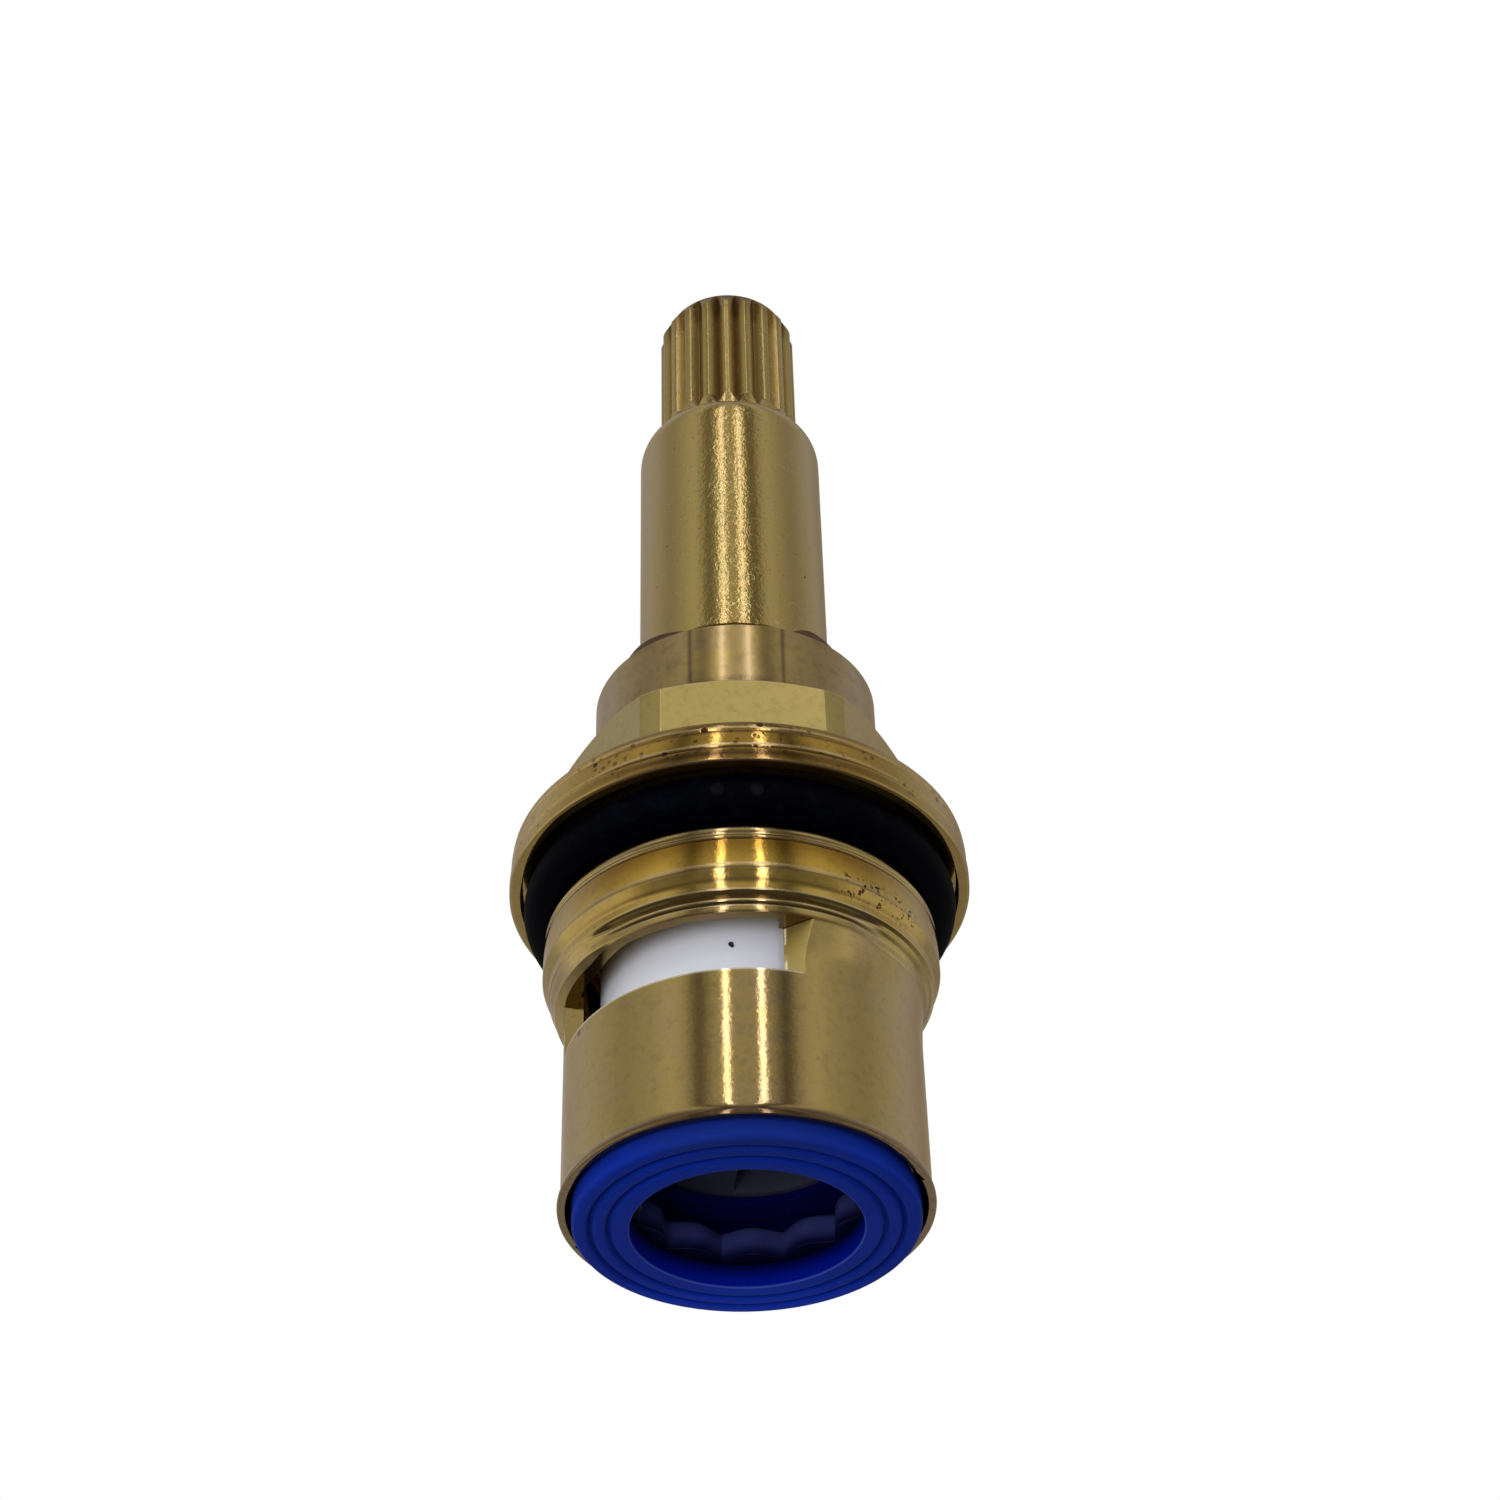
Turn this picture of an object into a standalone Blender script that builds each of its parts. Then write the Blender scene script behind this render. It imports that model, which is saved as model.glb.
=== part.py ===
"""Shower mixer cartridge: a quarter-turn ceramic disc headwork with a splined spindle.

The axis of the cartridge is +Z with the spindle up, and the origin is the middle of
the flat ring under the blue seal. Lengths are in millimetres until a mesh is made.
"""

import math

import bmesh
import bpy
from mathutils import Matrix, Vector

MM = 0.001

# Clearances, broken edges and how far a tool reaches into or past a solid
RADIAL_GAP = 0.30
SEAT_GAP = 0.25
EDGE = 0.12
FINE_EDGE = 0.06
OVERLAP = 0.40
CUT_PAST = 1.00

# Spindle journal and the stop collar at its foot
JOURNAL_D = 10.1
STOP_COLLAR_WIDTH = 1.35
STOP_COLLAR_HEIGHT = 1.30
STOP_RIB_DEPTH = 1.45
STOP_RIB_ANGLE = 43.0
QUARTER_TURN = 90.0
TONGUE_WIDTH = 4.0
TONGUE_DEPTH = 2.45
TONGUE_INSET = 0.80
THRUST_WASHER_THICKNESS = 0.40

# Lower tube of the brass body, with its two side windows
TUBE_WALL = 0.80
LIP_FLARE = 0.17
LIP_HEIGHT = 0.55
MOUTH_WALL = 0.42
MOUTH_DEPTH = 0.70
WINDOW_RISE = 0.50
WINDOW_HEIGHT = 2.95
WINDOW_DEPTH = 3.15
WINDOW_TURN = -30.0
RELIEF_WALL = 0.55
RELIEF_HEIGHT = 1.90
RELIEF_ANGLE = 86.0

# Blue seal at the bottom, with its stepped face
SEAL_PROUD = 0.95
SEAL_SINK = 0.40
SEAL_OUTER_RING = 1.05
SEAL_MIDDLE_RING = 0.90
SEAL_INNER_RING = 0.83
SEAL_STEP = 0.16
SEAL_LIP = 1.30
SEAL_WALL = 1.30

# Lobed noise damper inside the seal, and the steel ring above it
DAMPER_WALL = 0.50
DAMPER_HEIGHT = 1.70
DAMPER_RECESS = 1.05
DAMPER_LOBES = 12
LOBE_DEPTH = 0.48
LOBE_TURN = -2.3
SUPPORT_RING_THICKNESS = 0.50
SUPPORT_RING_WIDTH = 2.30

# Ceramic discs
FIXED_DISC_THICKNESS = 3.00
ROTATING_DISC_PLAY = 1.15
DISC_WEB = 0.75
NOTCH_HEIGHT = 1.60
PORT_INNER_D = 4.4
PORT_OUTER_D = 11.2
PORT_ANGLE = 74.0
KEY_WIDTH = 3.0
KEY_DEPTH = 0.55

# Collar, groove and flange of the body
STEP_OUT = 0.80
STEP_LENGTH = 1.45
BEAD_OUT = 0.48
COLLAR_OUT = 0.35
COLLAR_SLOPE = 0.65
COLLAR_LENGTH = 2.60
GROOVE_SINK = 0.67
GROOVE_LENGTH = 3.40
BODY_RING_SECTION = 2.62
FLANGE_UNDERCUT = 0.80
UNDERCUT_PLAY = 0.20
FLANGE_OVERHANG = 0.80
FLANGE_THICKNESS = 2.65
FLANGE_CHAMFER = 0.30

# Hexagon and neck of the body
HEX_ACROSS_FLATS = 17.0
HEX_CORNER_OUT = 1.00
HEX_HEIGHT = 5.90
HEX_CHAMFER_SLOPE = 0.62
HEX_TURN = 2.65
NECK_WALL = 2.25
NECK_LENGTH = 4.10

# Spindle above the neck
SHANK_PLAY = 0.13
SHANK_LENGTH = 17.35
SHOULDER_LEDGE = 0.44
SHOULDER_RISE = 0.95
STEM_RING_SECTION = 1.40
STEM_RING_FIRST = 3.10
STEM_RING_PITCH = 3.60
SPLINE_D = 8.0
SPLINE_LENGTH = 10.10
SPLINE_TEETH = 20
SPLINE_DEPTH = 0.38
SPLINE_LAND = 0.36
SPLINE_RUNOUT = 1.10
SPLINE_CHAMFER = 0.35
SPLINE_TURN = 9.0
SCREW_HOLE_D = 4.2
SCREW_HOLE_DEPTH = 12.0
SCREW_HOLE_CHAMFER = 0.30
DRILL_POINT = 0.58

# Retaining clip above the neck
CLIP_THICKNESS = 1.20
CLIP_WIDTH = 1.75
CLIP_GROOVE_DEPTH = 0.80
CLIP_OPENING = 54.0

# Sides of the turned shapes
TURNED_SIDES = 60
RING_SIDES = 48
SMALL_SIDES = 30
SECTION_SIDES = 10

# Radii, from the spindle outwards
JOURNAL_R = JOURNAL_D / 2
NECK_BORE_R = JOURNAL_R + RADIAL_GAP
SHANK_R = NECK_BORE_R - SHANK_PLAY
SPLINE_R = SPLINE_D / 2
CLIP_FLOOR_R = JOURNAL_R - CLIP_GROOVE_DEPTH
STOP_COLLAR_R = JOURNAL_R + STOP_COLLAR_WIDTH
STOP_RIB_R = STOP_COLLAR_R + RADIAL_GAP
BORE_R = STOP_RIB_R + STOP_RIB_DEPTH
IN_BORE_R = BORE_R - RADIAL_GAP
ROTATING_DISC_R = BORE_R - ROTATING_DISC_PLAY
TUBE_R = BORE_R + TUBE_WALL
LIP_R = TUBE_R + LIP_FLARE
MOUTH_R = LIP_R - MOUTH_WALL
SEAL_FLANGE_R = MOUTH_R - RADIAL_GAP
SEAL_MIDDLE_R = SEAL_FLANGE_R - SEAL_OUTER_RING
SEAL_INNER_R = SEAL_MIDDLE_R - SEAL_MIDDLE_RING
SEAL_HOLE_R = SEAL_INNER_R - SEAL_INNER_RING
SEAL_POCKET_R = IN_BORE_R - SEAL_WALL
DAMPER_R = SEAL_POCKET_R - RADIAL_GAP
STEP_R = TUBE_R + STEP_OUT
COLLAR_R = STEP_R + COLLAR_OUT
RING_GROOVE_R = TUBE_R - GROOVE_SINK
BODY_RING_R = RING_GROOVE_R + SEAT_GAP + BODY_RING_SECTION / 2
UNDERCUT_R = BODY_RING_R + BODY_RING_SECTION / 2 + UNDERCUT_PLAY
FLANGE_R = BODY_RING_R + BODY_RING_SECTION / 2 + FLANGE_OVERHANG
NECK_R = NECK_BORE_R + NECK_WALL
HEX_CORNER_R = HEX_ACROSS_FLATS / 2 + HEX_CORNER_OUT

# Heights, from the seal's face upwards
BODY_BOTTOM = SEAL_PROUD
SEAL_FLANGE_TOP = BODY_BOTTOM + SEAL_SINK
SEAL_HEIGHT = SEAL_LIP + SEAT_GAP + DAMPER_HEIGHT + DAMPER_RECESS
SUPPORT_RING_BOTTOM = SEAL_HEIGHT + SEAT_GAP
FIXED_DISC_BOTTOM = SUPPORT_RING_BOTTOM + SUPPORT_RING_THICKNESS + SEAT_GAP
FIXED_DISC_TOP = FIXED_DISC_BOTTOM + FIXED_DISC_THICKNESS
ROTATING_DISC_BOTTOM = FIXED_DISC_TOP + SEAT_GAP
SLOT_FLOOR = ROTATING_DISC_BOTTOM + NOTCH_HEIGHT + DISC_WEB
ROTATING_DISC_TOP = SLOT_FLOOR + SEAT_GAP + TONGUE_DEPTH
STOP_COLLAR_BOTTOM = ROTATING_DISC_TOP + SEAT_GAP
STOP_COLLAR_TOP = STOP_COLLAR_BOTTOM + STOP_COLLAR_HEIGHT
THRUST_WASHER_BOTTOM = STOP_COLLAR_TOP + SEAT_GAP
THRUST_WASHER_TOP = THRUST_WASHER_BOTTOM + THRUST_WASHER_THICKNESS
BORE_TOP = THRUST_WASHER_TOP + SEAT_GAP

WINDOW_BOTTOM = ROTATING_DISC_BOTTOM + WINDOW_RISE
WINDOW_TOP = WINDOW_BOTTOM + WINDOW_HEIGHT
SLOPE_BOTTOM = WINDOW_TOP + STEP_LENGTH
COLLAR_BOTTOM = SLOPE_BOTTOM + COLLAR_SLOPE
GROOVE_BOTTOM = COLLAR_BOTTOM + COLLAR_LENGTH
GROOVE_TOP = GROOVE_BOTTOM + GROOVE_LENGTH
FLANGE_BOTTOM = GROOVE_TOP - FLANGE_UNDERCUT
FLANGE_TOP = FLANGE_BOTTOM + FLANGE_THICKNESS
HEX_TOP = FLANGE_TOP + HEX_HEIGHT
NECK_TOP = HEX_TOP + NECK_LENGTH

CLIP_BOTTOM = NECK_TOP + SEAT_GAP
CLIP_TOP = CLIP_BOTTOM + CLIP_THICKNESS
SHANK_BOTTOM = CLIP_TOP + SEAT_GAP
SHANK_TOP = SHANK_BOTTOM + SHANK_LENGTH
SHOULDER_TOP = SHANK_TOP + SHOULDER_RISE
SPINDLE_TOP = SHOULDER_TOP + SPLINE_LENGTH


def material(name, colour, roughness, metallic):
    """Make a plain Principled material."""
    made = bpy.data.materials.new(name)
    made.use_nodes = True
    shader = made.node_tree.nodes["Principled BSDF"]
    shader.inputs["Base Color"].default_value = (*colour, 1.0)
    shader.inputs["Roughness"].default_value = roughness
    shader.inputs["Metallic"].default_value = metallic
    return made


def add_object(name, bm, look=None):
    """Turn a bmesh in millimetres into an object in metres."""
    bmesh.ops.recalc_face_normals(bm, faces=bm.faces)
    bmesh.ops.scale(bm, vec=(MM, MM, MM), verts=bm.verts)
    mesh = bpy.data.meshes.new(name)
    bm.to_mesh(mesh)
    bm.free()
    thing = bpy.data.objects.new(name, mesh)
    bpy.context.scene.collection.objects.link(thing)
    if look:
        mesh.materials.append(look)
    return thing


def smooth(thing, angle=35.0):
    """Shade round walls smooth and keep the edges sharp."""
    thing.data.shade_smooth()
    thing.data.set_sharp_from_angle(angle=math.radians(angle))


def polar(radius, degrees, height=0.0):
    """Point at a bearing counted from the front (-Y) towards +X."""
    angle = math.radians(degrees)
    return Vector((radius * math.sin(angle), -radius * math.cos(angle), height))


def turned_mesh(outline, sides, radius_at=None):
    """Revolve a closed outline of (radius, height) points about Z.

    radius_at(index, radius, degrees) may vary the radius of a point around the turn.
    """
    bm = bmesh.new()
    rings = []
    for index, (radius, height) in enumerate(outline):
        if radius == 0.0:
            rings.append([bm.verts.new((0.0, 0.0, height))] * sides)
            continue
        ring = []
        for side in range(sides):
            degrees = 360.0 * side / sides
            here = radius_at(index, radius, degrees) if radius_at else radius
            ring.append(bm.verts.new(polar(here, degrees, height)))
        rings.append(ring)
    for low, high in zip(rings, rings[1:] + rings[:1]):
        for side in range(sides):
            after = (side + 1) % sides
            corners = [low[side], low[after], high[after], high[side]]
            unique = list(dict.fromkeys(corners))
            if len(unique) > 2:
                bm.faces.new(unique)
    return bm


def turned(name, outline, sides, look=None):
    """Make a turned object from a closed outline."""
    return add_object(name, turned_mesh(outline, sides), look)


def prism_mesh(points, bottom, top):
    """Raise a flat outline of (x, y) points from bottom to top."""
    bm = bmesh.new()
    low = [bm.verts.new((x, y, bottom)) for x, y in points]
    high = [bm.verts.new((x, y, top)) for x, y in points]
    bm.faces.new(low)
    bm.faces.new(high)
    for index in range(len(points)):
        after = (index + 1) % len(points)
        bm.faces.new([low[index], low[after], high[after], high[index]])
    return bm


def arc(radius, start, end, steps):
    """Points (x, y) along an arc, by bearings in degrees."""
    bearings = [start + (end - start) * step / steps for step in range(steps + 1)]
    return [polar(radius, bearing).xy[:] for bearing in bearings]


def sector(inner, outer, centre, spread, steps=8):
    """Outline of a ring sector about a bearing."""
    start = centre - spread / 2
    end = centre + spread / 2
    return arc(outer, start, end, steps) + arc(inner, end, start, steps)


def bar(centre, length, width):
    """Outline of a straight bar through the axis, along a bearing."""
    along = polar(length / 2, centre)
    across = polar(width / 2, centre + 90.0)
    corners = [along + across, along - across, -along - across, -along + across]
    return [corner.xy[:] for corner in corners]


def combine(thing, other, operation):
    """Join, cut or intersect a solid with another, then delete the other."""
    step = thing.modifiers.new(operation.title(), "BOOLEAN")
    step.operation = operation
    step.solver = "EXACT"
    step.object = other
    graph = bpy.context.evaluated_depsgraph_get()
    mesh = bpy.data.meshes.new_from_object(thing.evaluated_get(graph))
    thing.modifiers.clear()
    thing.data = mesh
    bpy.data.objects.remove(other)


def tool(bm):
    """Make a temporary solid for a Boolean."""
    return add_object("tool", bm)


def ring_of(name, centre_radius, section, height, sides, look):
    """Make an O-ring of a round section."""
    outline = []
    for step in range(SECTION_SIDES):
        angle = 2 * math.pi * step / SECTION_SIDES
        radius = centre_radius + section / 2 * math.cos(angle)
        outline.append((radius, height + section / 2 * math.sin(angle)))
    ring = turned(name, outline, sides, look)
    ring.data.shade_smooth()
    return ring


def body_outline():
    """Closed section of the brass body: outside going up, bore coming down."""
    bead_r = TUBE_R + BEAD_OUT
    split = FLANGE_BOTTOM + FLANGE_THICKNESS / 3
    tube = [
        (MOUTH_R, BODY_BOTTOM),
        (LIP_R - EDGE, BODY_BOTTOM),
        (LIP_R, BODY_BOTTOM + EDGE),
        (TUBE_R, BODY_BOTTOM + LIP_HEIGHT),
        (TUBE_R, WINDOW_TOP - EDGE),
        (bead_r - EDGE, WINDOW_TOP + STEP_LENGTH * 0.14),
        (bead_r, WINDOW_TOP + STEP_LENGTH * 0.23),
        (bead_r - EDGE, WINDOW_TOP + STEP_LENGTH * 0.34),
        (bead_r, WINDOW_TOP + STEP_LENGTH * 0.46),
        (bead_r - EDGE, WINDOW_TOP + STEP_LENGTH * 0.56),
        (STEP_R - EDGE, WINDOW_TOP + STEP_LENGTH * 0.62),
        (STEP_R, WINDOW_TOP + STEP_LENGTH * 0.70),
        (STEP_R, SLOPE_BOTTOM),
    ]
    collar = [
        (COLLAR_R, COLLAR_BOTTOM),
        (COLLAR_R, GROOVE_BOTTOM - 4 * EDGE),
        (COLLAR_R - EDGE, GROOVE_BOTTOM - 3 * EDGE),
        (COLLAR_R - FINE_EDGE, GROOVE_BOTTOM - 2 * EDGE),
        (COLLAR_R - EDGE, GROOVE_BOTTOM),
        (RING_GROOVE_R, GROOVE_BOTTOM),
        (RING_GROOVE_R, GROOVE_TOP),
        (UNDERCUT_R, GROOVE_TOP),
        (UNDERCUT_R, FLANGE_BOTTOM),
    ]
    flange = [
        (FLANGE_R - FLANGE_CHAMFER, FLANGE_BOTTOM),
        (FLANGE_R - FINE_EDGE, FLANGE_BOTTOM + FLANGE_CHAMFER - FINE_EDGE),
        (FLANGE_R - FINE_EDGE, split - FINE_EDGE),
        (FLANGE_R - EDGE, split),
        (FLANGE_R, split + FINE_EDGE),
        (FLANGE_R, FLANGE_TOP - 2 * FLANGE_CHAMFER),
        (FLANGE_R - EDGE, FLANGE_TOP - 2 * FLANGE_CHAMFER + EDGE),
        (FLANGE_R - EDGE, FLANGE_TOP - FLANGE_CHAMFER),
        (FLANGE_R - FLANGE_CHAMFER, FLANGE_TOP),
    ]
    neck = [
        (NECK_R, FLANGE_TOP + EDGE),
        (NECK_R, NECK_TOP - EDGE),
        (NECK_R - EDGE, NECK_TOP),
        (NECK_BORE_R + EDGE, NECK_TOP),
        (NECK_BORE_R, NECK_TOP - EDGE),
        (NECK_BORE_R, BORE_TOP),
    ]
    bore = [
        (BORE_R, BORE_TOP),
        (BORE_R, BODY_BOTTOM + MOUTH_DEPTH + RADIAL_GAP),
        (MOUTH_R, BODY_BOTTOM + MOUTH_DEPTH),
    ]
    return tube + collar + flange + neck + bore


def add_hexagon(body):
    """Join the chamfered hexagon to the body below its neck."""
    inner = (NECK_BORE_R + NECK_R) / 2
    top_r = NECK_R - EDGE
    sunk = FLANGE_TOP - FLANGE_CHAMFER
    top = HEX_TOP + EDGE * HEX_CHAMFER_SLOPE
    corner_top = HEX_TOP - (HEX_CORNER_R - NECK_R) * HEX_CHAMFER_SLOPE
    outline = [
        (inner, sunk),
        (HEX_CORNER_R, sunk),
        (HEX_CORNER_R, corner_top),
        (top_r, top),
        (inner, top),
    ]
    blank = turned("hex_blank", outline, TURNED_SIDES)
    corners = []
    for side in range(6):
        bearing = HEX_TURN + 30.0 + 60.0 * side
        corners.append(polar(HEX_ACROSS_FLATS / math.sqrt(3), bearing).xy[:])
    prism = prism_mesh(corners, sunk - CUT_PAST, top + CUT_PAST)
    combine(blank, tool(prism), "INTERSECT")
    combine(body, blank, "UNION")


def cut_windows(body):
    """Mill the two flat side windows that the rotating disc opens."""
    for bearing in (WINDOW_TURN, WINDOW_TURN + 180.0):
        ahead = polar(1.0, bearing).xy
        aside = polar(STEP_R, bearing + 90.0).xy
        near = ahead * (TUBE_R - WINDOW_DEPTH)
        far = ahead * (STEP_R + CUT_PAST)
        corners = [near + aside, near - aside, far - aside, far + aside]
        points = [corner[:] for corner in corners]
        combine(body, tool(prism_mesh(points, WINDOW_BOTTOM, WINDOW_TOP)), "DIFFERENCE")


def cut_reliefs(body):
    """Widen the bore above both windows, so that water can leave all along them."""
    outer = TUBE_R + BEAD_OUT - RELIEF_WALL
    bottom = WINDOW_TOP - CUT_PAST
    for bearing in (WINDOW_TURN, WINDOW_TURN + 180.0):
        outline = sector(BORE_R - CUT_PAST, outer, bearing, RELIEF_ANGLE, 14)
        combine(body, tool(prism_mesh(outline, bottom, WINDOW_TOP + RELIEF_HEIGHT)), "DIFFERENCE")


def cut_keyways(body):
    """Cut the two grooves in the bore that hold the fixed disc's keys."""
    length = 2 * (IN_BORE_R + KEY_DEPTH + RADIAL_GAP)
    outline = bar(WINDOW_TURN + 90.0, length, KEY_WIDTH + 2 * RADIAL_GAP)
    groove = prism_mesh(outline, BODY_BOTTOM - CUT_PAST, FIXED_DISC_TOP + SEAT_GAP)
    combine(body, tool(groove), "DIFFERENCE")


def add_stop_ribs(body):
    """Join the two ribs in the bore that stop the spindle's lugs."""
    bottom = STOP_COLLAR_BOTTOM + SEAT_GAP
    for bearing in (0.0, 180.0):
        outline = sector(STOP_RIB_R, BORE_R + OVERLAP, bearing, STOP_RIB_ANGLE)
        combine(body, tool(prism_mesh(outline, bottom, BORE_TOP + OVERLAP)), "UNION")


def valve_body(brass):
    """Brass body: tube, collar, ring groove, flange, hexagon and neck."""
    body = turned("valve_body", body_outline(), TURNED_SIDES, brass)
    add_hexagon(body)
    cut_windows(body)
    cut_reliefs(body)
    cut_keyways(body)
    add_stop_ribs(body)
    smooth(body, 25.0)
    return body


def ring_groove(centre):
    """Outline points of a stem ring groove, going up."""
    half = STEM_RING_SECTION / 2 + SEAT_GAP
    floor = NECK_BORE_R - 2 * RADIAL_GAP - STEM_RING_SECTION
    return [
        (JOURNAL_R, centre - half),
        (floor, centre - half),
        (floor, centre + half),
        (JOURNAL_R, centre + half),
    ]


def stem_ring_heights():
    """Heights of the two stem rings, lower one first."""
    upper = NECK_TOP - STEM_RING_FIRST
    return upper - STEM_RING_PITCH, upper


def spindle_outline():
    """Closed section of the spindle, from its foot up and down into the screw hole."""
    hole_r = SCREW_HOLE_D / 2
    ledge_r = SPLINE_R + SHOULDER_LEDGE
    outline = [
        (0.0, STOP_COLLAR_BOTTOM),
        (STOP_COLLAR_R, STOP_COLLAR_BOTTOM),
        (STOP_COLLAR_R, STOP_COLLAR_TOP),
        (JOURNAL_R, STOP_COLLAR_TOP),
    ]
    for height in stem_ring_heights():
        outline += ring_groove(height)
    outline += [
        (JOURNAL_R, NECK_TOP),
        (CLIP_FLOOR_R, NECK_TOP),
        (CLIP_FLOOR_R, SHANK_BOTTOM),
        (SHANK_R - EDGE, SHANK_BOTTOM),
        (SHANK_R, SHANK_BOTTOM + EDGE),
        (SHANK_R, SHANK_TOP),
        (SHANK_R * 0.7 + ledge_r * 0.3, SHANK_TOP + SHOULDER_RISE * 0.6),
        (ledge_r, SHOULDER_TOP - FINE_EDGE),
        (SPLINE_R, SHOULDER_TOP),
        (SPLINE_R, SPINDLE_TOP - SPLINE_CHAMFER),
        (SPLINE_R - SPLINE_CHAMFER, SPINDLE_TOP),
        (hole_r + SCREW_HOLE_CHAMFER, SPINDLE_TOP),
        (hole_r, SPINDLE_TOP - SCREW_HOLE_CHAMFER),
        (hole_r, SPINDLE_TOP - SCREW_HOLE_DEPTH),
        (0.0, SPINDLE_TOP - SCREW_HOLE_DEPTH - hole_r * DRILL_POINT),
    ]
    return outline


def stop_clearance():
    """Angle in degrees that a radial gap takes at the stop ribs' middle."""
    radius = (STOP_RIB_R + BORE_R) / 2
    return math.degrees(RADIAL_GAP / radius)


def add_stop_lugs(spindle):
    """Join the two lugs that meet the body's ribs at both ends of the turn."""
    spread = 180.0 - QUARTER_TURN - STOP_RIB_ANGLE - 2 * stop_clearance()
    centre = STOP_RIB_ANGLE / 2 + stop_clearance() + spread / 2
    for bearing in (centre, centre + 180.0):
        outline = sector(STOP_COLLAR_R - CUT_PAST, IN_BORE_R, bearing, spread)
        lug = prism_mesh(outline, STOP_COLLAR_BOTTOM + EDGE, STOP_COLLAR_TOP - EDGE)
        combine(spindle, tool(lug), "UNION")


def cut_splines(spindle):
    """Cut the vee grooves between the spline teeth, with a sloping run-out below."""
    root = SPLINE_R - SPLINE_DEPTH
    outer = SPLINE_R + EDGE
    slope = SPLINE_RUNOUT / SPLINE_DEPTH
    outer_bottom = SHOULDER_TOP + EDGE
    root_bottom = outer_bottom + (outer - root) * slope
    pitch = math.pi * SPLINE_D / SPLINE_TEETH
    half_width = (pitch - SPLINE_LAND) / 2 * (outer - root) / SPLINE_DEPTH
    spread = math.degrees(math.atan2(half_width, outer))
    top = SPINDLE_TOP + CUT_PAST
    bm = bmesh.new()
    for tooth in range(SPLINE_TEETH):
        bearing = SPLINE_TURN + 360.0 * tooth / SPLINE_TEETH
        feet = [
            polar(root, bearing, root_bottom),
            polar(outer, bearing - spread, outer_bottom),
            polar(outer, bearing + spread, outer_bottom),
        ]
        low = [bm.verts.new(foot) for foot in feet]
        high = [bm.verts.new((foot.x, foot.y, top)) for foot in feet]
        bm.faces.new(low)
        bm.faces.new(high)
        for index in range(3):
            after = (index + 1) % 3
            bm.faces.new([low[index], low[after], high[after], high[index]])
    combine(spindle, tool(bm), "DIFFERENCE")


def add_tongue(spindle):
    """Join the flat tongue that turns the upper disc."""
    outline = bar(WINDOW_TURN + 90.0, 2 * (STOP_COLLAR_R - TONGUE_INSET), TONGUE_WIDTH)
    bottom = SLOT_FLOOR + SEAT_GAP
    tongue = prism_mesh(outline, bottom, STOP_COLLAR_BOTTOM + OVERLAP)
    combine(spindle, tool(tongue), "UNION")


def spindle(brass):
    """Splined spindle with its stop collar and driving tongue."""
    made = turned("spindle", spindle_outline(), TURNED_SIDES, brass)
    add_stop_lugs(made)
    cut_splines(made)
    add_tongue(made)
    smooth(made, 25.0)
    return made


def retaining_clip(bronze):
    """Open spring clip in the spindle's groove above the neck."""
    inner = CLIP_FLOOR_R + RADIAL_GAP
    outline = sector(inner, inner + CLIP_WIDTH, 180.0, 360.0 - CLIP_OPENING, 30)
    mesh = prism_mesh(outline, CLIP_BOTTOM, CLIP_TOP)
    clip = add_object("retaining_clip", mesh, bronze)
    smooth(clip)
    return clip


def thrust_washer(plastic):
    """Slip washer between the stop collar and the shoulder in the bore."""
    inner = JOURNAL_R + RADIAL_GAP
    outline = [
        (inner, THRUST_WASHER_BOTTOM),
        (STOP_COLLAR_R, THRUST_WASHER_BOTTOM),
        (STOP_COLLAR_R, THRUST_WASHER_TOP),
        (inner, THRUST_WASHER_TOP),
    ]
    washer = turned("thrust_washer", outline, RING_SIDES, plastic)
    smooth(washer)
    return washer


def stem_rings(rubber):
    """Two O-rings between the spindle and the neck's bore."""
    centre_radius = NECK_BORE_R - RADIAL_GAP - STEM_RING_SECTION / 2
    names = ("stem_o_ring_lower", "stem_o_ring_upper")
    rings = []
    for name, height in zip(names, stem_ring_heights()):
        ring = ring_of(name, centre_radius, STEM_RING_SECTION, height, SMALL_SIDES, rubber)
        rings.append(ring)
    return rings


def body_ring(rubber):
    """O-ring under the flange that seals the cartridge in its housing."""
    height = (GROOVE_BOTTOM + GROOVE_TOP) / 2
    return ring_of("body_o_ring", BODY_RING_R, BODY_RING_SECTION, height, RING_SIDES, rubber)


def disc_outline(radius, bottom, top):
    """Closed section of a plain disc with broken edges."""
    return [
        (0.0, bottom),
        (radius - EDGE, bottom),
        (radius, bottom + EDGE),
        (radius, top - EDGE),
        (radius - EDGE, top),
        (0.0, top),
    ]


def rotating_disc(ceramic):
    """Upper ceramic disc, with a driving slot above and two notches below."""
    outline = disc_outline(ROTATING_DISC_R, ROTATING_DISC_BOTTOM, ROTATING_DISC_TOP)
    disc = turned("rotating_disc", outline, RING_SIDES, ceramic)
    past = ROTATING_DISC_R + CUT_PAST
    slot = bar(WINDOW_TURN + 90.0, 2 * past, TONGUE_WIDTH + 2 * RADIAL_GAP)
    groove = prism_mesh(slot, SLOT_FLOOR, ROTATING_DISC_TOP + CUT_PAST)
    combine(disc, tool(groove), "DIFFERENCE")
    low = ROTATING_DISC_BOTTOM - CUT_PAST
    high = ROTATING_DISC_BOTTOM + NOTCH_HEIGHT
    for bearing in (WINDOW_TURN + 90.0, WINDOW_TURN + 270.0):
        notch = sector(PORT_INNER_D / 2, past, bearing, PORT_ANGLE)
        combine(disc, tool(prism_mesh(notch, low, high)), "DIFFERENCE")
    smooth(disc, 25.0)
    return disc


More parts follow.
